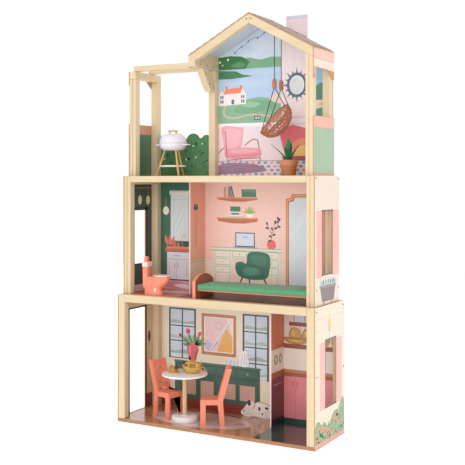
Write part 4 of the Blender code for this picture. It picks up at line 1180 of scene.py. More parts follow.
def floors():
    lo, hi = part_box("base_board")
    floor = Wall("bottomFloorArt", floorFace(hi[2]), 0.000004)
    front, back = lo[1] + 0.0002, 0.0975
    floor.fill((178, 122, 86), rect(-0.2895, 0.1280, front, back))
    floor.fill((178, 122, 86), rect(-0.3115, -0.2895, -0.0785, 0.0755))
    planks = [[(-0.288, v), (0.127, v)] for v in [-0.088 + 0.0165 * i for i in range(11)]]
    floor.line((146, 92, 62), 0.0009, *planks)
    tints = []
    for i, v in enumerate([-0.088 + 0.0165 * i for i in range(11)]):
        for k in range(3):
            start = -0.288 + 0.105 * k + 0.03 * (i % 3)
            tints.append(rect(start, start + 0.07, v + 0.001, v + 0.0155))
    floor.fill((188, 132, 96), *tints[::2])
    floor.fill((168, 112, 78), *tints[1::2])
    floor.fill((214, 184, 184), oval(-0.091, -0.002, 0.160, 0.078, 64))
    floor.fill((224, 198, 196), oval(-0.091, -0.002, 0.150, 0.071, 64))
    floor.line((232, 210, 206), 0.002, oval(-0.091, -0.002, 0.128, 0.058, 64) + [(0.037, -0.002)])
    floor.fill((238, 140, 116), soft(*mm(20, -8, 40, 4, 60, 0, 44, 14, 24, 12)))
    floor.fill((30, 78, 70), rect(0.1280, 0.2895, front, back), rect(0.2895, 0.3115, -0.0785, 0.0755))
    floor.line((20, 60, 54), 0.0011, *levels((-0.060, -0.020, 0.020, 0.060), 0.129, 0.311),
               *uprights((0.168, 0.208, 0.248, 0.288), -0.076, 0.096))
    floor.done(printedFloor, "floor_board")
    for name, low, colour, line in (("middle_floor", "bedroomFloorArt", (122, 58, 42), (88, 38, 28)),
                                          ("top_floor", "topFloorArt", (196, 148, 116), (160, 112, 84))):
        lo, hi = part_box(name)
        floor = Wall(low, floorFace(hi[2]), 0.000004)
        halfX = hi[0] - 0.024 if name == "middle_floor" else 0.270
        front, back = lo[1] + 0.0005, (0.0795 if name == "middle_floor" else 0.0655)
        floor.fill(colour, rect(-halfX, halfX, front, back))
        floor.line(line, 0.0009, *levels([front + 0.0165 * i for i in range(1, 8)], -halfX, halfX))
        if name == "middle_floor":
            floor.fill((222, 110, 84), rect(-0.280, -0.129, front, back))
            floor.fill((240, 206, 208), soft(*mm(-250, 30, -200, 60, -145, 40, -160, 0, -230, 4)))
        floor.done(printedDull, "floor_board")


for make in (diningWall, lowerPartition, bathWall, bathPartition, lakeWall, hedge, leftInside,
             rightOutside, fencesAndValances, floors):
    make()
print("printed boards made")


# Furniture

# Joins level sections into a closed solid. Each is (height, centre x, centre y, half x, half y) in
# millimetres and a squareness, which is 2 for an oval and higher for a rounded box.
def loft(sections, sides=48):
    bm = bmesh.new()
    rings = []
    for *sizes, square in sections:
        z, x, y, halfX, halfY = [value / 1000 for value in sizes]
        ring = []
        for i in range(sides):
            turn = 2 * math.pi * i / sides
            c, s = math.cos(turn), math.sin(turn)
            power = 2.0 / square
            ring.append(bm.verts.new((x + halfX * math.copysign(abs(c) ** power, c),
                                      y + halfY * math.copysign(abs(s) ** power, s), z)))
        rings.append(ring)
    for low, high in zip(rings, rings[1:]):
        for i in range(sides):
            j = (i + 1) % sides
            bm.faces.new((low[i], low[j], high[j], high[i]))
    bm.faces.new(rings[0][::-1])
    bm.faces.new(rings[-1])
    bmesh.ops.recalc_face_normals(bm, faces=bm.faces)
    return bm


def moved(bm, place, turn=0.0, tip=0.0):
    turned = Matrix.Rotation(math.radians(turn), 4, "Z") @ Matrix.Rotation(math.radians(tip), 4, "Y")
    matrix = Matrix.Translation(place) @ turned
    bmesh.ops.transform(bm, matrix=matrix, verts=bm.verts)
    return bm


def clothMaterial(name, colour, scale=900.0):
    sheet = Sheet(name)
    at = sheet.place((scale, scale, scale))
    across = sheet.node("ShaderNodeTexWave", {"bands_direction": "X"}, Vector=at, Scale=1.0, Distortion=0.6)
    along = sheet.node("ShaderNodeTexWave", {"bands_direction": "Y"}, Vector=at, Scale=1.0, Distortion=0.6)
    cloud = sheet.noise(sheet.place((14, 14, 14)), 1.0, 3.0, 0.6)
    weave = across * along
    dark = tuple(c * 0.72 for c in colour)
    base = sheet.mix(cloud * 0.7 + weave * 0.3, dark, colour)
    return sheet.finish(base=base, rough=0.86, sheen=0.25, normal=sheet.bump(weave, 0.0003, 0.6))


def leafMaterial(name):
    sheet = Sheet(name)
    streak = sheet.noise(sheet.place((160, 160, 22)), 1.0, 3.0, 0.6)
    cloud = sheet.noise(sheet.place((46, 46, 46)), 1.0, 2.0, 0.5)
    base = sheet.mix(streak, tone(18, 84, 50), tone(56, 132, 74))
    base = sheet.mix(cloud * 0.5, base, tone(28, 100, 62))
    return sheet.finish(base=base, rough=0.46 + streak * 0.14, coat=0.15,
                        normal=sheet.bump(streak, 0.0005, 0.6))


greenCloth = clothMaterial("greenCloth", tone(92, 172, 122))
leafGreen = leafMaterial("leafGreen")
goldDeep = paintMaterial("goldDeep", tone(206, 156, 70), 0.45, 0.2)
soilDark = paintMaterial("soil", tone(72, 54, 44), 0.95, 0.3, 0.0, 0.0006)
legGold = pineMaterial("legWood", "Z")
# A darker coral for the headboard's inner face, as painted shade.
headboardShadeCoral = paintMaterial("headboardShadeCoral", tone(164, 88, 62), 0.5, 0.14)


# Shifts a wood material's colours by multiplying its base.
def tint(look, colour):
    tree = look.node_tree
    shader = tree.nodes["Principled BSDF"]
    link = shader.inputs["Base Color"].links[0]
    made = tree.nodes.new("ShaderNodeMix")
    made.data_type = "RGBA"
    made.blend_type = "MULTIPLY"
    made.inputs[0].default_value = 1.0
    tree.links.new(link.from_socket, made.inputs[6])
    made.inputs[7].default_value = (*colour, 1.0)
    tree.links.new(made.outputs[2], shader.inputs["Base Color"])
    return look


tint(legGold, (0.94, 0.74, 0.36))
tint(poleTan, (0.96, 0.86, 0.72))


def makeTable():
    x, y = -0.125, -0.034
    top = lathe(mm(0, 141.7, 62.5, 141.7, 65.2, 142.4, 66.5, 144.2, 66.5, 145.8, 65.5, 147.4, 63.6, 148,
                   0, 148), (x, y, 0), 96)
    base = lathe(mm(0, 10.4, 37, 10.4, 38, 11.6, 38, 22.6, 37.2, 24.8, 35, 26, 0, 26), (x, y, 0), 72)
    pole = lathe(mm(0, 25, 6.6, 25, 6.6, 142.5, 0, 142.5), (x, y, 0), 32)
    collar = lathe(mm(0, 25.5, 8.6, 25.5, 8.2, 27.2, 0, 27.2), (x, y, 0), 32)
    finished(addMesh("tableArt", joined([(top, 0), (base, 0), (collar, 0), (pole, 1)]), [white, poleTan],
                     40), "table", "white_paint", "table")


def makeChairs():
    for name, place, turn in (("chair_left", (-0.1935, -0.0165), -15.0),
                              ("chair_right", (-0.035, -0.034), 210.0)):
        softened(name, coral, 0.0009, name, 35)
        pins = []
        for side in (-1, 1):
            for x, z in ((-0.0440, 0.160), (-0.0265, 0.0800), (0.0250, 0.0800)):
                bm = lathe(mm(0, 0, 1.3, 0, 1.1, 0.4, 0.5, 0.4, 0, 0.1), sides=14)
                bmesh.ops.transform(bm, matrix=Matrix.Rotation(math.radians(-90 * side), 4, "X"),
                                    verts=bm.verts)
                pins.append((moved(bm, (x, side * 0.02695, z)), 0))
        bm = joined(pins)
        moved(bm, (*place, 0), turn)
        finished(addMesh(f"{name}_pins", bm, coralDeep, 40), name, "coral_paint")


def pear(length, wide):
    return lathe([(0, 0), (wide * 0.6, length * 0.06), (wide, length * 0.30),
                  (wide * 0.86, length * 0.55), (wide * 0.46, length * 0.82), (wide * 0.2, length * 0.97),
                  (0, length)], sides=24)


def makeFruitBowl():
    place, turn = (-0.1087, -0.0177, 0.1483), 25.0
    sides = 144
    profile = smoothLine(mm(0, 0, 18, 0.2, 26.2, 9, 29, 17), 9)
    shell = bmesh.new()
    rings = []
    outline = [(r, z, 1) for r, z in profile]
    outline += [(max(r - 0.0022, 0.0), z + (0.0020 if z < 0.010 else 0.0), -1) for r, z in profile[::-1]]
    for k, (r, z, face) in enumerate(outline):
        ring = []
        for i in range(sides):
            t = 2 * math.pi * i / sides
            over = math.sin(36 * t + math.pi * (k // 2)) * 0.00045 * face if r > 0.004 else 0
            lift = 1.0 + 0.22 * max(-math.cos(t) * r / 0.029, 0.0)
            ring.append(shell.verts.new(((r + over) * math.cos(t), (r + over) * math.sin(t), z * lift)))
        rings.append(ring)
    for a, b in zip(rings, rings[1:]):
        for i in range(sides):
            j = (i + 1) % sides
            shell.faces.new((a[i], a[j], b[j], b[i]))
    bmesh.ops.remove_doubles(shell, verts=shell.verts, dist=1e-6)
    rim = tube([(0.0284 * math.cos(t), 0.0284 * math.sin(t), 0.0170 * (1 + 0.22 * max(-math.cos(t), 0)))
                for t in [2 * math.pi * i / 72 for i in range(72)]], 0.0013, 8, True)
    twist = []
    for phase in (0, math.pi):
        path = []
        for t in [2 * math.pi * i / 216 for i in range(216)]:
            out = 0.0284 + 0.0012 * math.cos(18 * t + phase)
            rise = 0.0170 * (1 + 0.22 * max(-math.cos(t), 0)) + 0.0012 * math.sin(18 * t + phase)
            path.append((out * math.cos(t), out * math.sin(t), rise))
        twist.append((tube(path, 0.0007, 6, True), 0))
    loop = [(0.0265 + 0.009 * math.cos(t), 0.0, 0.0095 + 0.0068 * math.sin(t))
            for t in [math.radians(-78 + 156 * i / 20) for i in range(21)]]
    handle = tube(loop, 0.0016, 10)
    basket = moved(joined([(shell, 0), (rim, 0), (handle, 0), *twist]), place, turn)
    finished(addMesh("fruitBasket", basket, goldPaint, 50), "fruit_bowl", "gold_paint", "fruit_bowl")
    fruit = []
    pears = ((-0.014, -0.008, 0.006, 0.026, 0.0088, 20, 14, 0), (-0.004, 0.010, 0.006, 0.027, 0.0088, 100,
            -18, 0), (0.010, -0.010, 0.006, 0.026, 0.0084, -40, 22, 0),
             (0.013, 0.008, 0.007, 0.025, 0.0082, 30, 30, 0), (-0.017, 0.006, 0.008, 0.026, 0.0074, 160,
            30, 1), (0.001, -0.001, 0.008, 0.024, 0.0082, 0, 8, 0))
    for x, y, z, length, wide, spin, tip, look in pears:
        fruit.append((moved(pear(length, wide), (x, y, z), spin, tip), look))
    for x, y, z, spin, size in ((-0.010, -0.006, 0.024, 10, 0.017), (-0.006, 0.002, 0.027, 40, 0.016),
                                (0.010, -0.002, 0.023, -30, 0.015)):
        arcPoints = [(size * (k / 10 - 0.5) * 1.9, 0, size * 0.62 * (1 - (k / 5 - 1) ** 2))
                     for k in range(11)]
        banana = tube(arcPoints, lambda p: 0.0042 * math.sin(math.pi * (0.06 + 0.88 * p)) ** 0.6, 12)
        fruit.append((moved(banana, (x, y, z - 0.006), spin), 0))
    for x, y, z, spin, tip in ((-0.012, -0.014, 0.022, 200, 60), (0.002, -0.016, 0.022, 300, 70),
                               (-0.006, 0.002, 0.034, 120, 40), (-0.018, -0.004, 0.026, 170, 50)):
        blade = loft([(0, 0, 0, 0.5, 0.5, 2), (5, 0, 0, 0.8, 4, 2), (11, 0, 0, 0.8, 3.4, 2),
                      (17, 0, 0, 0.3, 0.3, 2)], 12)
        fruit.append((moved(blade, (x, y, z), spin, tip), 1))
    finished(addMesh("fruit", moved(joined(fruit), place, turn), [goldPaint, olive], 60), "fruit_bowl",
             "gold_paint")


def makeBreadTray():
    place, turn = (-0.1590, -0.0420, 0.1483), 20.0
    tray = lathe(mm(0, 0, 15, 0, 18.5, 2.4, 19.2, 4, 18, 4.2, 15, 1.8, 0, 1.8), sides=72,
                 squeeze=(0.95, 0.62))
    weave = []
    for k, (r, z) in enumerate(((0.0164, 0.0012), (0.0180, 0.0024), (0.0188, 0.0036))):
        points = []
        for i in range(120):
            t = 2 * math.pi * i / 120
            out = r + 0.0004 * math.sin(30 * t + math.pi * k)
            points.append((0.95 * out * math.cos(t), 0.62 * out * math.sin(t), z))
        weave.append((tube(points, 0.0006, 6, True), 0))
    loaves = []
    for x, y, z, length, wide, spin, look in ((0.001, 0.000, 0.0120, 0.028, 0.0064, 8, 1),
                                              (-0.003, -0.005, 0.0070, 0.026, 0.0054, -18, 3),
                                              (-0.002, 0.006, 0.0080, 0.026, 0.0056, 24, 1),
                                              (0.010, -0.002, 0.0150, 0.016, 0.0052, 60, 2),
                                              (-0.006, 0.003, 0.0160, 0.014, 0.0044, 140, 3)):
        bm = bmesh.new()
        bmesh.ops.create_uvsphere(bm, u_segments=40, v_segments=20, radius=1.0)
        for vert in bm.verts:
            co = vert.co
            scored = 1 - 0.10 * max(math.sin(9 * co.x + 1.2 * co.y), 0) ** 4 * max(co.z, 0)
            vert.co = Vector((co.x * length / 2, co.y * wide * scored, co.z * wide * 0.86 * scored))
        loaves.append((moved(bm, (x, y, z), spin), look))
    bm = moved(joined([(tray, 0), *weave, *loaves]), place, turn)
    finished(addMesh("breadTrayArt", bm, [goldPaint, breadBrown, olive, goldDeep], 50), "bread_tray",
             "gold_paint", "bread_tray")


def makeToilet():
    at = (-0.2087, -0.060, 0.3723)
    body = loft([(0, 0, 0, 26, 16, 2.6), (4.6, 0, 0, 26.2, 16.2, 2.6), (8, 0, 0, 24, 15, 2.4),
                 (15, 2, 0, 19.6, 13.2, 2.2), (22, 6, 0, 19.6, 13.4, 2.1), (31, 13, 0, 24.6, 16, 2),
                 (41, 17.5, 0, 27.8, 17.8, 2), (50.5, 19, 0, 28.2, 18, 2), (53, 19, 0, 28.1, 17.9, 2),
                 (53.6, 19, 0, 26.2, 16.6, 2), (53, 19, 0, 18.5, 11.8, 2), (46, 19, 0, 15, 9.6, 2),
                 (41, 19, 0, 8, 5, 2)], 72)
    bridge = loft([(20, -18, 0, 12, 9, 3), (33, -14, 0, 16, 11.5, 3), (49, -12, 0, 18, 12, 4),
                   (52.2, -12, 0, 17.2, 11.2, 4)], 48)
    tank = loft([(19, -30, 0, 7, 10.5, 5), (26, -30.2, 0, 8.4, 12.2, 6), (79, -30.2, 0, 8.8, 12.6, 6),
                 (80.6, -30.2, 0, 8.2, 12, 6)], 64)
    stem = loft([(0, -20, 0, 15, 12, 3), (6, -20, 0, 15, 12, 3), (20, -22, 0, 13, 10.5, 3),
                 (30, -26, 0, 11, 10.5, 3)], 48)
    lid = loft([(80.6, -30.2, 0, 8.6, 12.4, 6), (81.6, -30.2, 0, 10.2, 14.2, 6),
                (93.4, -30.2, 0, 10.2, 14.2, 6), (95, -30.2, 0, 9.4, 13.4, 6)], 64)
    box = loft([(94.8, -31.2, 0, 5, 7, 6), (107.6, -31.2, 0, 5.2, 7.2, 6), (109, -31.2, 0, 4.6, 6.6, 6)],
               40)
    boxTop = loft([(108.6, -31.2, 0, 3.8, 5.6, 4), (110, -31.2, 0, 3.4, 5.2, 4)], 32)
    slot = loft([(8.5, 6, -12.8, 4, 2.2, 2.2), (15, 6, -11.8, 5, 2.2, 2.2), (21, 6, -11.4, 5, 2, 2.2),
                 (23, 6, -11.2, 3, 1.4, 2.2)], 24)
    pieces = ((body, 0), (bridge, 0), (stem, 0), (tank, 0), (lid, 1), (box, 0), (boxTop, 1), (slot, 1))
    parts = [(moved(bm, at), index) for bm, index in pieces]
    finished(addMesh("toiletArt", joined(parts), [coral, blush], 40), "toilet", "coral_paint",
             "toilet_body")
    ring = bmesh.new()
    count, tubeSides = 72, 16
    rings = []
    for i in range(count):
        t = 2 * math.pi * i / count
        loop = []
        for k in range(tubeSides):
            a = 2 * math.pi * k / tubeSides
            r = 0.0226 + 0.0060 * math.cos(a)
            back = 0.68 if math.cos(t) < 0 else 1.0
            z = 0.0560 + 0.0020 * math.copysign(abs(math.sin(a)) ** 0.6, math.sin(a))
            loop.append(ring.verts.new((0.0195 + r * math.cos(t) * back, r * 0.66 * math.sin(t), z)))
        rings.append(loop)
    for i in range(count):
        a, b = rings[i], rings[(i + 1) % count]
        for k in range(tubeSides):
            m = (k + 1) % tubeSides
            ring.faces.new((a[k], a[m], b[m], b[k]))
    hinges = [(moved(tube([(0.0010, y - 0.0030, 0.0560), (0.0010, y + 0.0030, 0.0560)], 0.0021, 14), at),
               0) for y in (-0.007, 0.007)]
    seat = joined([(moved(ring, at), 0), *hinges])
    finished(addMesh("toiletSeatArt", seat, blush, 40), "toilet_seat", "coral_paint", "toilet_seat")


def makeBed():
    frameArt = softened("bed_frame", [coral, headboardShadeCoral], 0.0010, "bed", 35)
    # The headboard's inner face takes the darker coral: painted shade.
    for face in frameArt.data.polygons:
        if face.normal.x > 0.9 and face.center.x < -0.055:
            face.material_index = 1
    pad = roundedBox((-0.0565, -0.0799, 0.3972), (0.2804, 0.0179, 0.4130), 0.0030, 4)
    bmesh.ops.subdivide_edges(pad, edges=[e for e in pad.edges if e.calc_length() > 0.05], cuts=10,
                              use_grid_fill=True)
    for vert in pad.verts:
        u = (vert.co.x - 0.1120) / 0.1684
        v = (vert.co.y + 0.031) / 0.049
        if vert.co.z > 0.405:
            crown = 0.0010 * (1 - u ** 6) * (1 - v ** 4) - 0.0004
            ripple = 0.00025 * math.sin(31 * vert.co.x * 3) * math.cos(40 * vert.co.y)
            vert.co.z += crown + ripple
        vert.co.y += 0.0004 * math.sin(52 * vert.co.x) * (1 if v > 0 else -1) * abs(v) ** 6
    made = addMesh("mattressPad", pad, greenCloth, 50)
    finished(made, "mattress", "green_paint", "mattress")
    seams = []
    for z in (0.4000, 0.4108):
        points = mm(-56.6, -76.6, -53.2, -80, 277.1, -80, 280.5, -76.6, 280.5, 14.6, 277.1, 18, -53.2, 18,
                    -56.6, 14.6)
        seams.append((tube([(a, b, z) for a, b in points], 0.0004, 6, True), 0))
    finished(addMesh("mattressSeams", joined(seams), greenCloth, 50), "mattress", "green_paint")


def makeGrill():
    at = (-0.187, 0.0, 0.7183)
    bowl = lathe(mm(0, 74.5, 24, 74.8, 32.5, 77.5, 39, 84.5, 40.7, 90.5, 41, 94.5, 41.4, 95.7, 40.4, 95.9,
                    38.5, 95.5, 36.5, 87, 28, 78.5, 0, 77.8), at, 96)
    lid = lathe(mm(0, 120.5, 26.5, 120, 33.5, 114, 38, 100, 38.5, 96.4, 41.2, 96.4, 41.3, 98, 40.9, 100,
                   40.3, 105, 36.8, 113, 31.2, 119, 22, 122.5, 15, 123.4, 0, 123.6), at, 96)
    ribs = []
    for r, z in ((0.0404, 0.1040), (0.0362, 0.1135)):
        ring = [(at[0] + r * math.cos(t), at[1] + r * math.sin(t), at[2] + z)
                for t in [2 * math.pi * i / 72 for i in range(72)]]
        ribs.append((tube(ring, 0.0005, 6, True), 0))
    legs = []
    for turn in (-38, 82, 202):
        c, s = math.cos(math.radians(turn)), math.sin(math.radians(turn))
        foot = Vector((at[0] + 0.049 * c, at[1] + 0.049 * s, at[2] + 0.0002))
        head = Vector((at[0] + 0.024 * c, at[1] + 0.024 * s, at[2] + 0.0775))
        path = [foot.lerp(head, k / 6) for k in range(7)]
        legs.append((tube(path, lambda p: 0.0028 + 0.0006 * math.sin(math.pi * min(p * 1.4, 1)), 16), 1))
    shelf = lathe(mm(0, 26, 38.2, 26, 39.5, 27, 39.5, 30, 38.4, 31, 0, 31), at, 72)
    grate = []
    for x in [-0.030 + 0.006 * i for i in range(11)]:
        half = math.sqrt(0.0370 ** 2 - x ** 2)
        ends = [(at[0] + x, at[1] + y, at[2] + 0.0928) for y in (-half, half)]
        grate.append((tube(ends, 0.0006, 8), 3))
    handles = []
    for side in (-1, 1):
        a, b = sorted((at[0] + side * 0.0395, at[0] + side * 0.0540))
        handles.append((roundedBox((a, at[1] - 0.011, at[2] + 0.0898), (b, at[1] + 0.011, at[2] + 0.0937),
                                   0.0012, 3), 2))
    finished(addMesh("grillStandArt", joined([(bowl, 0), *legs, (shelf, 2), *handles, *grate]),
                     [lilac, legGold, white, screwMetal], 40), "grill", "white_paint", "grill_stand")
    knobs = []
    for x in (-0.011, 0.011):
        low = (at[0] + x - 0.0022, at[1] - 0.0022, at[2] + 0.1222)
        high = (at[0] + x + 0.0022, at[1] + 0.0022, at[2] + 0.1312)
        knobs.append((roundedBox(low, high, 0.0008, 2), 1))
    bar = tube([(at[0] + x, at[1], at[2] + 0.1325) for x in (-0.0165, -0.0155, -0.008, 0, 0.008, 0.0155,
            0.0165)], lambda p: 0.0019 if p in (0, 1) else 0.0028, 18)
    finished(addMesh("grillLidArt", joined([(lid, 0), *ribs, *knobs, (bar, 1)]), [lilac, poleTan], 40),
             "grill_lid", "white_paint", "grill_lid")


# A broad leaf, folded along its midrib, that bows outward and runs to a point.
def bladeMesh(turn, lean, length, wide, curl):
    bm = bmesh.new()
    steps, across = 16, 6
    grid = []
    for i in range(steps + 1):
        p = i / steps
        half = wide * (math.sin(math.pi * min(0.10 + p * 0.88, 1.0)) ** 0.8) * (1 - 0.35 * p)
        out = lean * p + curl * p * p
        up = length * p
        row = []
        for face in (1, -1):
            for k in range(across + 1):
                q = (k / across * 2 - 1) * face
                fold = 0.16 * half * abs(q) - 0.06 * half * math.cos(math.pi * q)
                thick = 0.0005 * face * (1 - abs(q) ** 4 * 0.8)
                spot = Vector((0.002 + out - fold - thick, half * q + 0.0006 * math.sin(9 * p + turn),
                               0.0330 + up))
                row.append(bm.verts.new(Matrix.Rotation(math.radians(turn), 3, "Z") @ spot))
        grid.append(row)
    wide2 = 2 * (across + 1)
    for a, b in zip(grid, grid[1:]):
        for k in range(wide2):
            m = (k + 1) % wide2
            bm.faces.new((a[k], a[m], b[m], b[k]))
    bm.faces.new(grid[0])
    bm.faces.new(grid[-1][::-1])
    bmesh.ops.recalc_face_normals(bm, faces=bm.faces)
    return bm


def makePlant():
    at = (0.191, 0.0, 0.7183)
    pot = lathe(mm(0, 0, 18.2, 0, 19, 0.8, 22.4, 25.5, 22.8, 26.2, 24.3, 26.8, 24.6, 28, 24.6, 41.8, 24,
                   42.8, 22.8, 43, 21.6, 42.4, 20.5, 30, 17, 6, 0, 6), at, 80)
    finished(addMesh("potArt", pot, potClay, 40), "plant", "terracotta", "plant_pot")
    parts = [(moved(lathe(mm(0, 6.5, 16, 6.5, 20, 33, 12, 35, 0, 35.6), sides=40), at), 1)]
    for turn, lean, length, wide, curl in ((-75, 0.004, 0.071, 0.0125, 0.002),
                                           (182, 0.030, 0.056, 0.0070, 0.024),
                                           (4, 0.018, 0.053, 0.0075, 0.012),
                                           (95, 0.004, 0.062, 0.0110, 0.004),
                                           (140, 0.010, 0.054, 0.0085, 0.008),
                                           (-25, 0.006, 0.058, 0.0105, 0.004),
                                           (-140, 0.008, 0.050, 0.0090, 0.006),
                                           (50, 0.012, 0.040, 0.0070, 0.010)):
        parts.append((moved(bladeMesh(turn, lean, length, wide, curl), at), 0))
    finished(addMesh("leavesArt", joined(parts), [leafGreen, soilDark], 60), "plant", "leaf",
             "plant_leaves")


basketLook = {"strands": 22, "strand": 0.00105, "rim": 0.0025, "gapTurn": 2.3}


def makeBasket():
    centre = Vector((0.1496, 0.0, 0.8734))
    rimR, halfY, depth = 0.056, 0.029, 0.042
    tip = Matrix.Rotation(math.radians(-45), 3, "Y")

    # turn round the rim; level 0 at the bottom, 1 at the rim; out along the shell's normal.
    def onShell(turn, level, out=0.0):
        a = math.pi / 2 * level
        spot = Vector((rimR * math.sin(a) * math.cos(turn), halfY * math.sin(a) * math.sin(turn),
                       -depth * math.cos(a)))
        away = Vector((spot.x / rimR ** 2, spot.y / halfY ** 2, spot.z / depth ** 2)).normalized()
        return centre + tip @ (spot + away * (out - 0.0012))

    parts = []
    count = basketLook["strands"]
    for family in (-1, 1):
        for i in range(count):
            start = 2 * math.pi * (i + (0.25 if family > 0 else 0)) / count
            points = []
            for s in range(25):
                level = 0.10 + 0.90 * s / 24
                turn = start + family * basketLook["gapTurn"] * level / 2
                points.append(onShell(turn, level, 0.0007 * math.sin(level * 22 + i * math.pi) * family))
            parts.append((tube(points, basketLook["strand"] * (0.85 + 0.3 * ((i * 7) % 5) / 4), 6), 0))
    for k, level in enumerate((0.10, 0.22, 0.38, 0.55, 0.70, 0.84)):
        points = [onShell(2 * math.pi * i / 96, level + 0.010 * math.sin(5 * 2 * math.pi * i / 96 + k),
                          0.0006 * math.sin(22 * 2 * math.pi * i / 96 + math.pi * k)) for i in range(96)]
        parts.append((tube(points, 0.0010, 6, True), 0))
    for spin in range(6):
        points = [onShell(math.pi * spin / 6 + (math.pi if s < 0 else 0), abs(s), 0.0003)
                  for s in [k / 10 * 0.24 for k in range(-10, 11)]]
        parts.append((tube(points, 0.0011, 6), 0))
    rim = [onShell(2 * math.pi * i / 96, 1.0) for i in range(96)]
    parts.append((tube(rim, basketLook["rim"], 10, True), 0))
    for phase in range(3):
        points = []
        for i in range(320):
            t = 2 * math.pi * i / 320
            spin = 26 * t + phase * 2 * math.pi / 3
            points.append(onShell(t, 1.0, 0.0016 * math.cos(spin))
                          + tip @ Vector((0, 0, 0.0016 * math.sin(spin))))
        parts.append((tube(points, 0.00095, 6, True), 0))
    lining = []
    for k in range(2):
        points = [onShell(2 * math.pi * i / 96, 0.93 - 0.03 * k, 0.0006) for i in range(96)]
        lining.append((tube(points, 0.0009, 6, True), 0))
    basket = joined(parts + lining)
    finished(addMesh("wickerBasket", basket, cane, 50), "swing", "wicker", "hanging_basket")
    edge = tube([onShell(t, 1.0, 0.0010) + tip @ Vector((0, 0, 0.0026))
                 for t in [math.radians(180 + 180 * i / 40) for i in range(41)]], 0.0008, 8)
    finished(addMesh("rimCord", edge, cordBlack, 50), "swing", "cord")
    for name, side in (("front", -1), ("rear", 1)):
        y = side * 0.0215
        cords = [(tube([(0.158, y, 1.1300), (0.158, y, 1.06), (0.158, y, 0.9800)], 0.0011, 10), 0)]
        rimY = side * 0.0130
        reach = rimR * math.sqrt(1 - (rimY / halfY) ** 2)
        for end in (-1, 1):
            low = centre + tip @ Vector((end * (reach + 0.001), rimY, 0.0020))
            start = Vector((0.158 + end * 0.0012, y, 0.960))
            cords.append((tube([start, start.lerp(low, 0.5), low], 0.0011, 10), 0))
            knot = bmesh.new()
            bmesh.ops.create_icosphere(knot, subdivisions=2, radius=0.0024)
            for vert in knot.verts:
                vert.co *= 1 + 0.16 * math.sin(9 * vert.co.normalized().z * 2 + 3 * vert.co.normalized().x)
            cords.append((moved(knot, low), 0))
        sleeve = lathe(mm(1.6, 0, 4, 0.4, 5.8, 4, 6.4, 11, 6.4, 18, 5.6, 25, 3.8, 28.8, 1.6, 29),
                       (0.158, y, 0.956), 32)
        finished(addMesh(f"cord_{name}Art", joined([*cords, (sleeve, 1)]), [cordBlack, sleeveWood], 50),
                 "swing", "cord", f"hanging_cord_{name}")


sleeveWood = paintMaterial("sleeveWood", tone(176, 110, 84), 0.5, 0.16, 0.15)

for make in (makeTable, makeChairs, makeFruitBowl, makeBreadTray, makeToilet, makeBed, makeGrill,
             makePlant, makeBasket):
    make()
print("furniture made")


# Roof: printed planks below, shingles above, and the chimney's face

roofLook = {"shingleWide": 0.0135, "shingleDeep": 0.0125, "thick": 0.0005, "seed": 4}


# Origin at the ridge, with unit vectors down the slope and out of the roof.
def roofSide(side):
    slope = math.radians(28.37)
    down = Vector((side * math.cos(slope), 0, -math.sin(slope)))
    out = Vector((side * math.sin(slope), 0, math.cos(slope)))
    return Vector((0.1025, 0, 1.166)), down, out


def roofPlanks():
    for name, side, reach in (("left", -1, 0.2185), ("right", 1, 0.2205)):
        ridge, down, out = roofSide(side)

        def underFace(u, v, h):
            return ridge + down * v - out * (0.0030 + h) + Vector((0, u, 0))

        under = Wall(f"roofUnder_{name}", underFace, 0.000012)
        front, back = -0.0473, 0.0655
        under.fill((196, 206, 220), rect(front, back, 0.004, reach - 0.004))
        rows = [front + 0.0113 * i for i in range(1, 10)]
        under.line((160, 172, 190), 0.0009, *uprights(rows, 0.005, reach - 0.006))
        shine = [rect(u + 0.002, u + 0.007, 0.010 + 0.02 * (k % 3), reach - 0.03 - 0.02 * (k % 2))
                 for k, u in enumerate(rows[:-1])]
        under.fill((214, 222, 232), *shine)
        under.done(slot="roof_board")


# A node group with one geometry input, the given number inputs, and a geometry output.
def repeatTree(name, build):
    tree = bpy.data.node_groups.new(name, "GeometryNodeTree")
    tree.interface.new_socket("Geometry", in_out="INPUT", socket_type="NodeSocketGeometry")
    tree.interface.new_socket("Geometry", in_out="OUTPUT", socket_type="NodeSocketGeometry")
    for label, value in build.items():
        kind = "NodeSocketInt" if isinstance(value, int) else "NodeSocketFloat"
        tree.interface.new_socket(label, in_out="INPUT", socket_type=kind).default_value = value
    return tree


# Applies the node tree to a carrier and returns the result as a plain mesh object.
def bake(carrier, tree, values, name):
    modifier = carrier.modifiers.new("repeat", "NODES")
    modifier.node_group = tree
    for item in tree.interface.items_tree:
        if item.in_out == "INPUT" and item.name in values:
            modifier[item.identifier] = values[item.name]
    bpy.context.view_layer.update()
    mesh = bpy.data.meshes.new_from_object(carrier.evaluated_get(bpy.context.evaluated_depsgraph_get()))
    carrier.modifiers.remove(modifier)
    bpy.data.objects.remove(carrier)
    made = bpy.data.objects.new(name, mesh)
    bpy.context.scene.collection.objects.link(made)
    return made
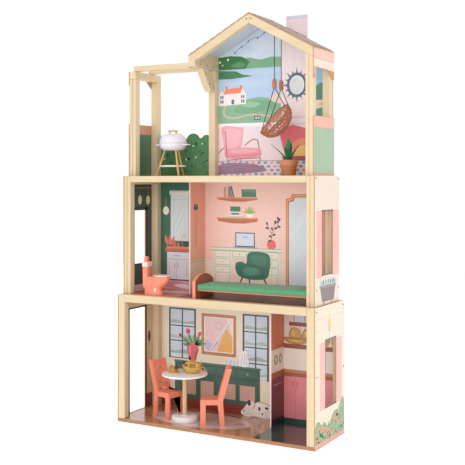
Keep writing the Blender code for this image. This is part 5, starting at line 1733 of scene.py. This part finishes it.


# Instances a small mesh on every carrier point, aligned to the point's facing direction, turned by up to
# Spread about it and scaled between Least and Most at random.
def placer(name, pieceMesh, values, look):
    tree = repeatTree(name, values)
    add = tree.nodes.new
    link = tree.links.new
    source, target = add("NodeGroupInput"), add("NodeGroupOutput")
    toPoints = add("GeometryNodeMeshToPoints")
    onPoints = add("GeometryNodeInstanceOnPoints")
    align = add("FunctionNodeAlignEulerToVector")
    align.axis = "Z"
    facing = add("GeometryNodeInputNamedAttribute")
    facing.data_type = "FLOAT_VECTOR"
    facing.inputs["Name"].default_value = "facing"
    piece = add("GeometryNodeObjectInfo")
    piece.inputs["Object"].default_value = pieceMesh
    jitter = add("FunctionNodeRandomValue")
    jitter.data_type = "FLOAT"
    scale = add("FunctionNodeRandomValue")
    scale.data_type = "FLOAT"
    turn = add("FunctionNodeRotateEuler")
    turn.rotation_type = "AXIS_ANGLE"
    turn.space = "LOCAL"
    turn.inputs["Axis"].default_value = (0, 0, 1)
    negate = add("ShaderNodeMath")
    negate.operation = "MULTIPLY"
    negate.inputs[1].default_value = -1.0
    real = add("GeometryNodeRealizeInstances")
    paint = add("GeometryNodeSetMaterial")
    paint.inputs["Material"].default_value = look
    link(source.outputs["Geometry"], toPoints.inputs["Mesh"])
    link(toPoints.outputs["Points"], onPoints.inputs["Points"])
    link(facing.outputs["Attribute"], align.inputs["Vector"])
    link(align.outputs["Rotation"], turn.inputs["Rotation"])
    link(source.outputs["Spread"], jitter.inputs[3])
    link(source.outputs["Spread"], negate.inputs[0])
    link(negate.outputs[0], jitter.inputs[2])
    link(jitter.outputs[1], turn.inputs["Angle"])
    link(source.outputs["Seed"], jitter.inputs["Seed"])
    link(source.outputs["Seed"], scale.inputs["Seed"])
    link(source.outputs["Least"], scale.inputs[2])
    link(source.outputs["Most"], scale.inputs[3])
    link(turn.outputs["Rotation"], onPoints.inputs["Rotation"])
    link(scale.outputs[1], onPoints.inputs["Scale"])
    link(piece.outputs["Geometry"], onPoints.inputs["Instance"])
    link(onPoints.outputs["Instances"], real.inputs["Geometry"])
    link(real.outputs["Geometry"], paint.inputs["Geometry"])
    link(paint.outputs["Geometry"], target.inputs["Geometry"])
    return tree


def pointCarrier(name, spots):
    mesh = bpy.data.meshes.new(name)
    mesh.from_pydata([tuple(p) for p, _ in spots], [], [])
    facing = mesh.attributes.new("facing", "FLOAT_VECTOR", "POINT")
    for i, (_, way) in enumerate(spots):
        facing.data[i].vector = tuple(way)
    made = bpy.data.objects.new(name, mesh)
    bpy.context.scene.collection.objects.link(made)
    return made


# A pan head with a cross cut into it, facing up its own Z axis.
def screwHead():
    bm = lathe(mm(0, -0.4, 1.9, -0.4, 2.2, 0.1, 2.1, 0.4, 1.6, 0.8, 0.8, 1, 0.7, 0.4, 0, 0.3), sides=20)
    bars = [(roundedBox((-0.0015, -0.0003, 0.0005), (0.0015, 0.0003, 0.0010), 0.0001, 1), 0),
            (roundedBox((-0.0003, -0.0015, 0.0005), (0.0003, 0.0015, 0.0010), 0.0001, 1), 0)]
    return joined([(bm, 0), *bars])


def makeScrews():
    right, front = Vector((1, 0, 0)), Vector((0, -1, 0))
    spots = []
    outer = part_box("bottom_panel_right")[1][0] + 0.0003
    spots += [(Vector((outer, y, z)), right) for y, z in ((-0.092, 0.360), (0.092, 0.360),
            (-0.090, 0.190), (0.094, 0.189), (-0.090, 0.030), (0.092, 0.030))]
    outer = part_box("middle_panel_right")[1][0] + 0.0003
    spots += [(Vector((outer, y, z)), right) for y, z in ((-0.076, 0.711), (0.075, 0.709),
            (-0.072, 0.415), (0.077, 0.410))]
    for name in ("bottom_panel_left", "middle_panel_left"):
        lo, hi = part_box(name)
        inset = 0.009
        spots += [(Vector((lo[0] - 0.0003, y, z)), -right) for y in (lo[1] + inset, hi[1] - inset)
                  for z in (lo[2] + 0.020, (lo[2] + hi[2]) / 2, hi[2] - 0.012)]
    for name in ("bottom_panel_back", "middle_panel_back", "room_panel_back"):
        lo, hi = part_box(name)
        high = 1.040 if name == "room_panel_back" else hi[2] - 0.012
        spots += [(Vector((x, hi[1] + 0.0003, z)), -front) for x in (lo[0] + 0.012, hi[0] - 0.012)
                  for z in (lo[2] + 0.020, (lo[2] + high) / 2, high)]
    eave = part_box("eave_beam")[1][0] + 0.0002
    spots += [(Vector((eave, y, 1.0375)), right) for y in (-0.040, -0.0034, 0.034)]
    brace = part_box("brace")[1][0] + 0.0002
    spots += [(Vector((brace, y, z)), right) for y, z in ((-0.010, 1.011), (0.014, 0.985))]
    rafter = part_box("rafter_left")[0][1] - 0.0002
    spots += [(Vector((x, rafter, 1.149)), front) for x in (0.0955, 0.110)]
    head = addMesh("screwHead", screwHead(), screwMetal, 40)
    values = {"Spread": 0.9, "Least": 0.9, "Most": 1.0, "Seed": 3}
    tree = placer("screwPlacer", head, values, screwMetal)
    made = bake(pointCarrier("screwPoints", spots), tree, values, "screws")
    bpy.data.objects.remove(head)
    finished(made, "house", "pine")


def makeShingles():
    look = paintMaterial("shingle", tone(198, 186, 182), 0.8, 0.24, 0.0, 0.0005)
    for name, side, reach in (("left", -1, 0.2195), ("right", 1, 0.2210)):
        ridge, down, out = roofSide(side)
        wide, deep, thick = roofLook["shingleWide"], roofLook["shingleDeep"], roofLook["thick"]
        bm = roundedBox((-wide * 0.48, -deep * 0.62, 0), (wide * 0.48, deep * 0.62, thick), 0.0002, 1)
        for vert in bm.verts:
            vert.co.z += 0.0007 * (vert.co.y / deep + 0.62)
        # The piece's Y runs down the slope once it is turned to face out of the roof.
        frameTurn = Matrix((Vector((0, 1, 0)), down, out)).transposed()
        bmesh.ops.transform(bm, matrix=frameTurn.to_4x4(), verts=bm.verts)
        bmesh.ops.recalc_face_normals(bm, faces=bm.faces)
        tile = addMesh(f"tile_{name}", bm, look, 30)
        spots = []
        rows = int(reach / deep)
        for row in range(rows):
            v = deep * (row + 0.62)
            for k in range(11):
                u = -0.0693 + wide * (k + 0.5 * (row % 2)) + wide * 0.5
                if u > 0.0660 - wide * 0.45 or v > reach - deep * 0.55:
                    continue
                place = ridge + down * v + out * 0.0002 + Vector((0, u, 0))
                spots.append((place, Vector((0, 0, 1))))
        values = {"Spread": 0.0, "Least": 0.97, "Most": 1.03, "Seed": roofLook["seed"]}
        tree = placer(f"tilePlacer_{name}", tile, values, look)
        made = bake(pointCarrier(f"tilePoints_{name}", spots), tree, values, f"shingles_{name}")
        bpy.data.objects.remove(tile)
        finished(made, "house", "roof_board")


def chimneyFace():
    lo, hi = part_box("room_panel_back")
    for name, level, way in (("chimneyFront", lo[1], -1), ("chimneyBack", hi[1], 1)):
        wall = Wall(name, lambda u, v, h, l=level, w=way: Vector((u, l + w * h, v)))
        a, b = 0.1523, 0.2157
        wall.fill((236, 214, 220), [(a, 1.1415), (b, 1.108), (b, 1.1707), (a, 1.1707)])
        wall.fill((206, 200, 206), rect(a, b, 1.1620, 1.1707))
        wall.line((206, 176, 184), 0.0008, *[[(a, v), (b, v)] for v in (1.1440, 1.1520, 1.1600)
                                             if v > 1.142],
                  *uprights((0.166, 0.182, 0.198), 1.1450, 1.1515),
                  *uprights((0.158, 0.174, 0.190, 0.206), 1.1525, 1.1595))
        wall.done()


roofPlanks()
makeShingles()
chimneyFace()
makeScrews()
print("roof and screws made")
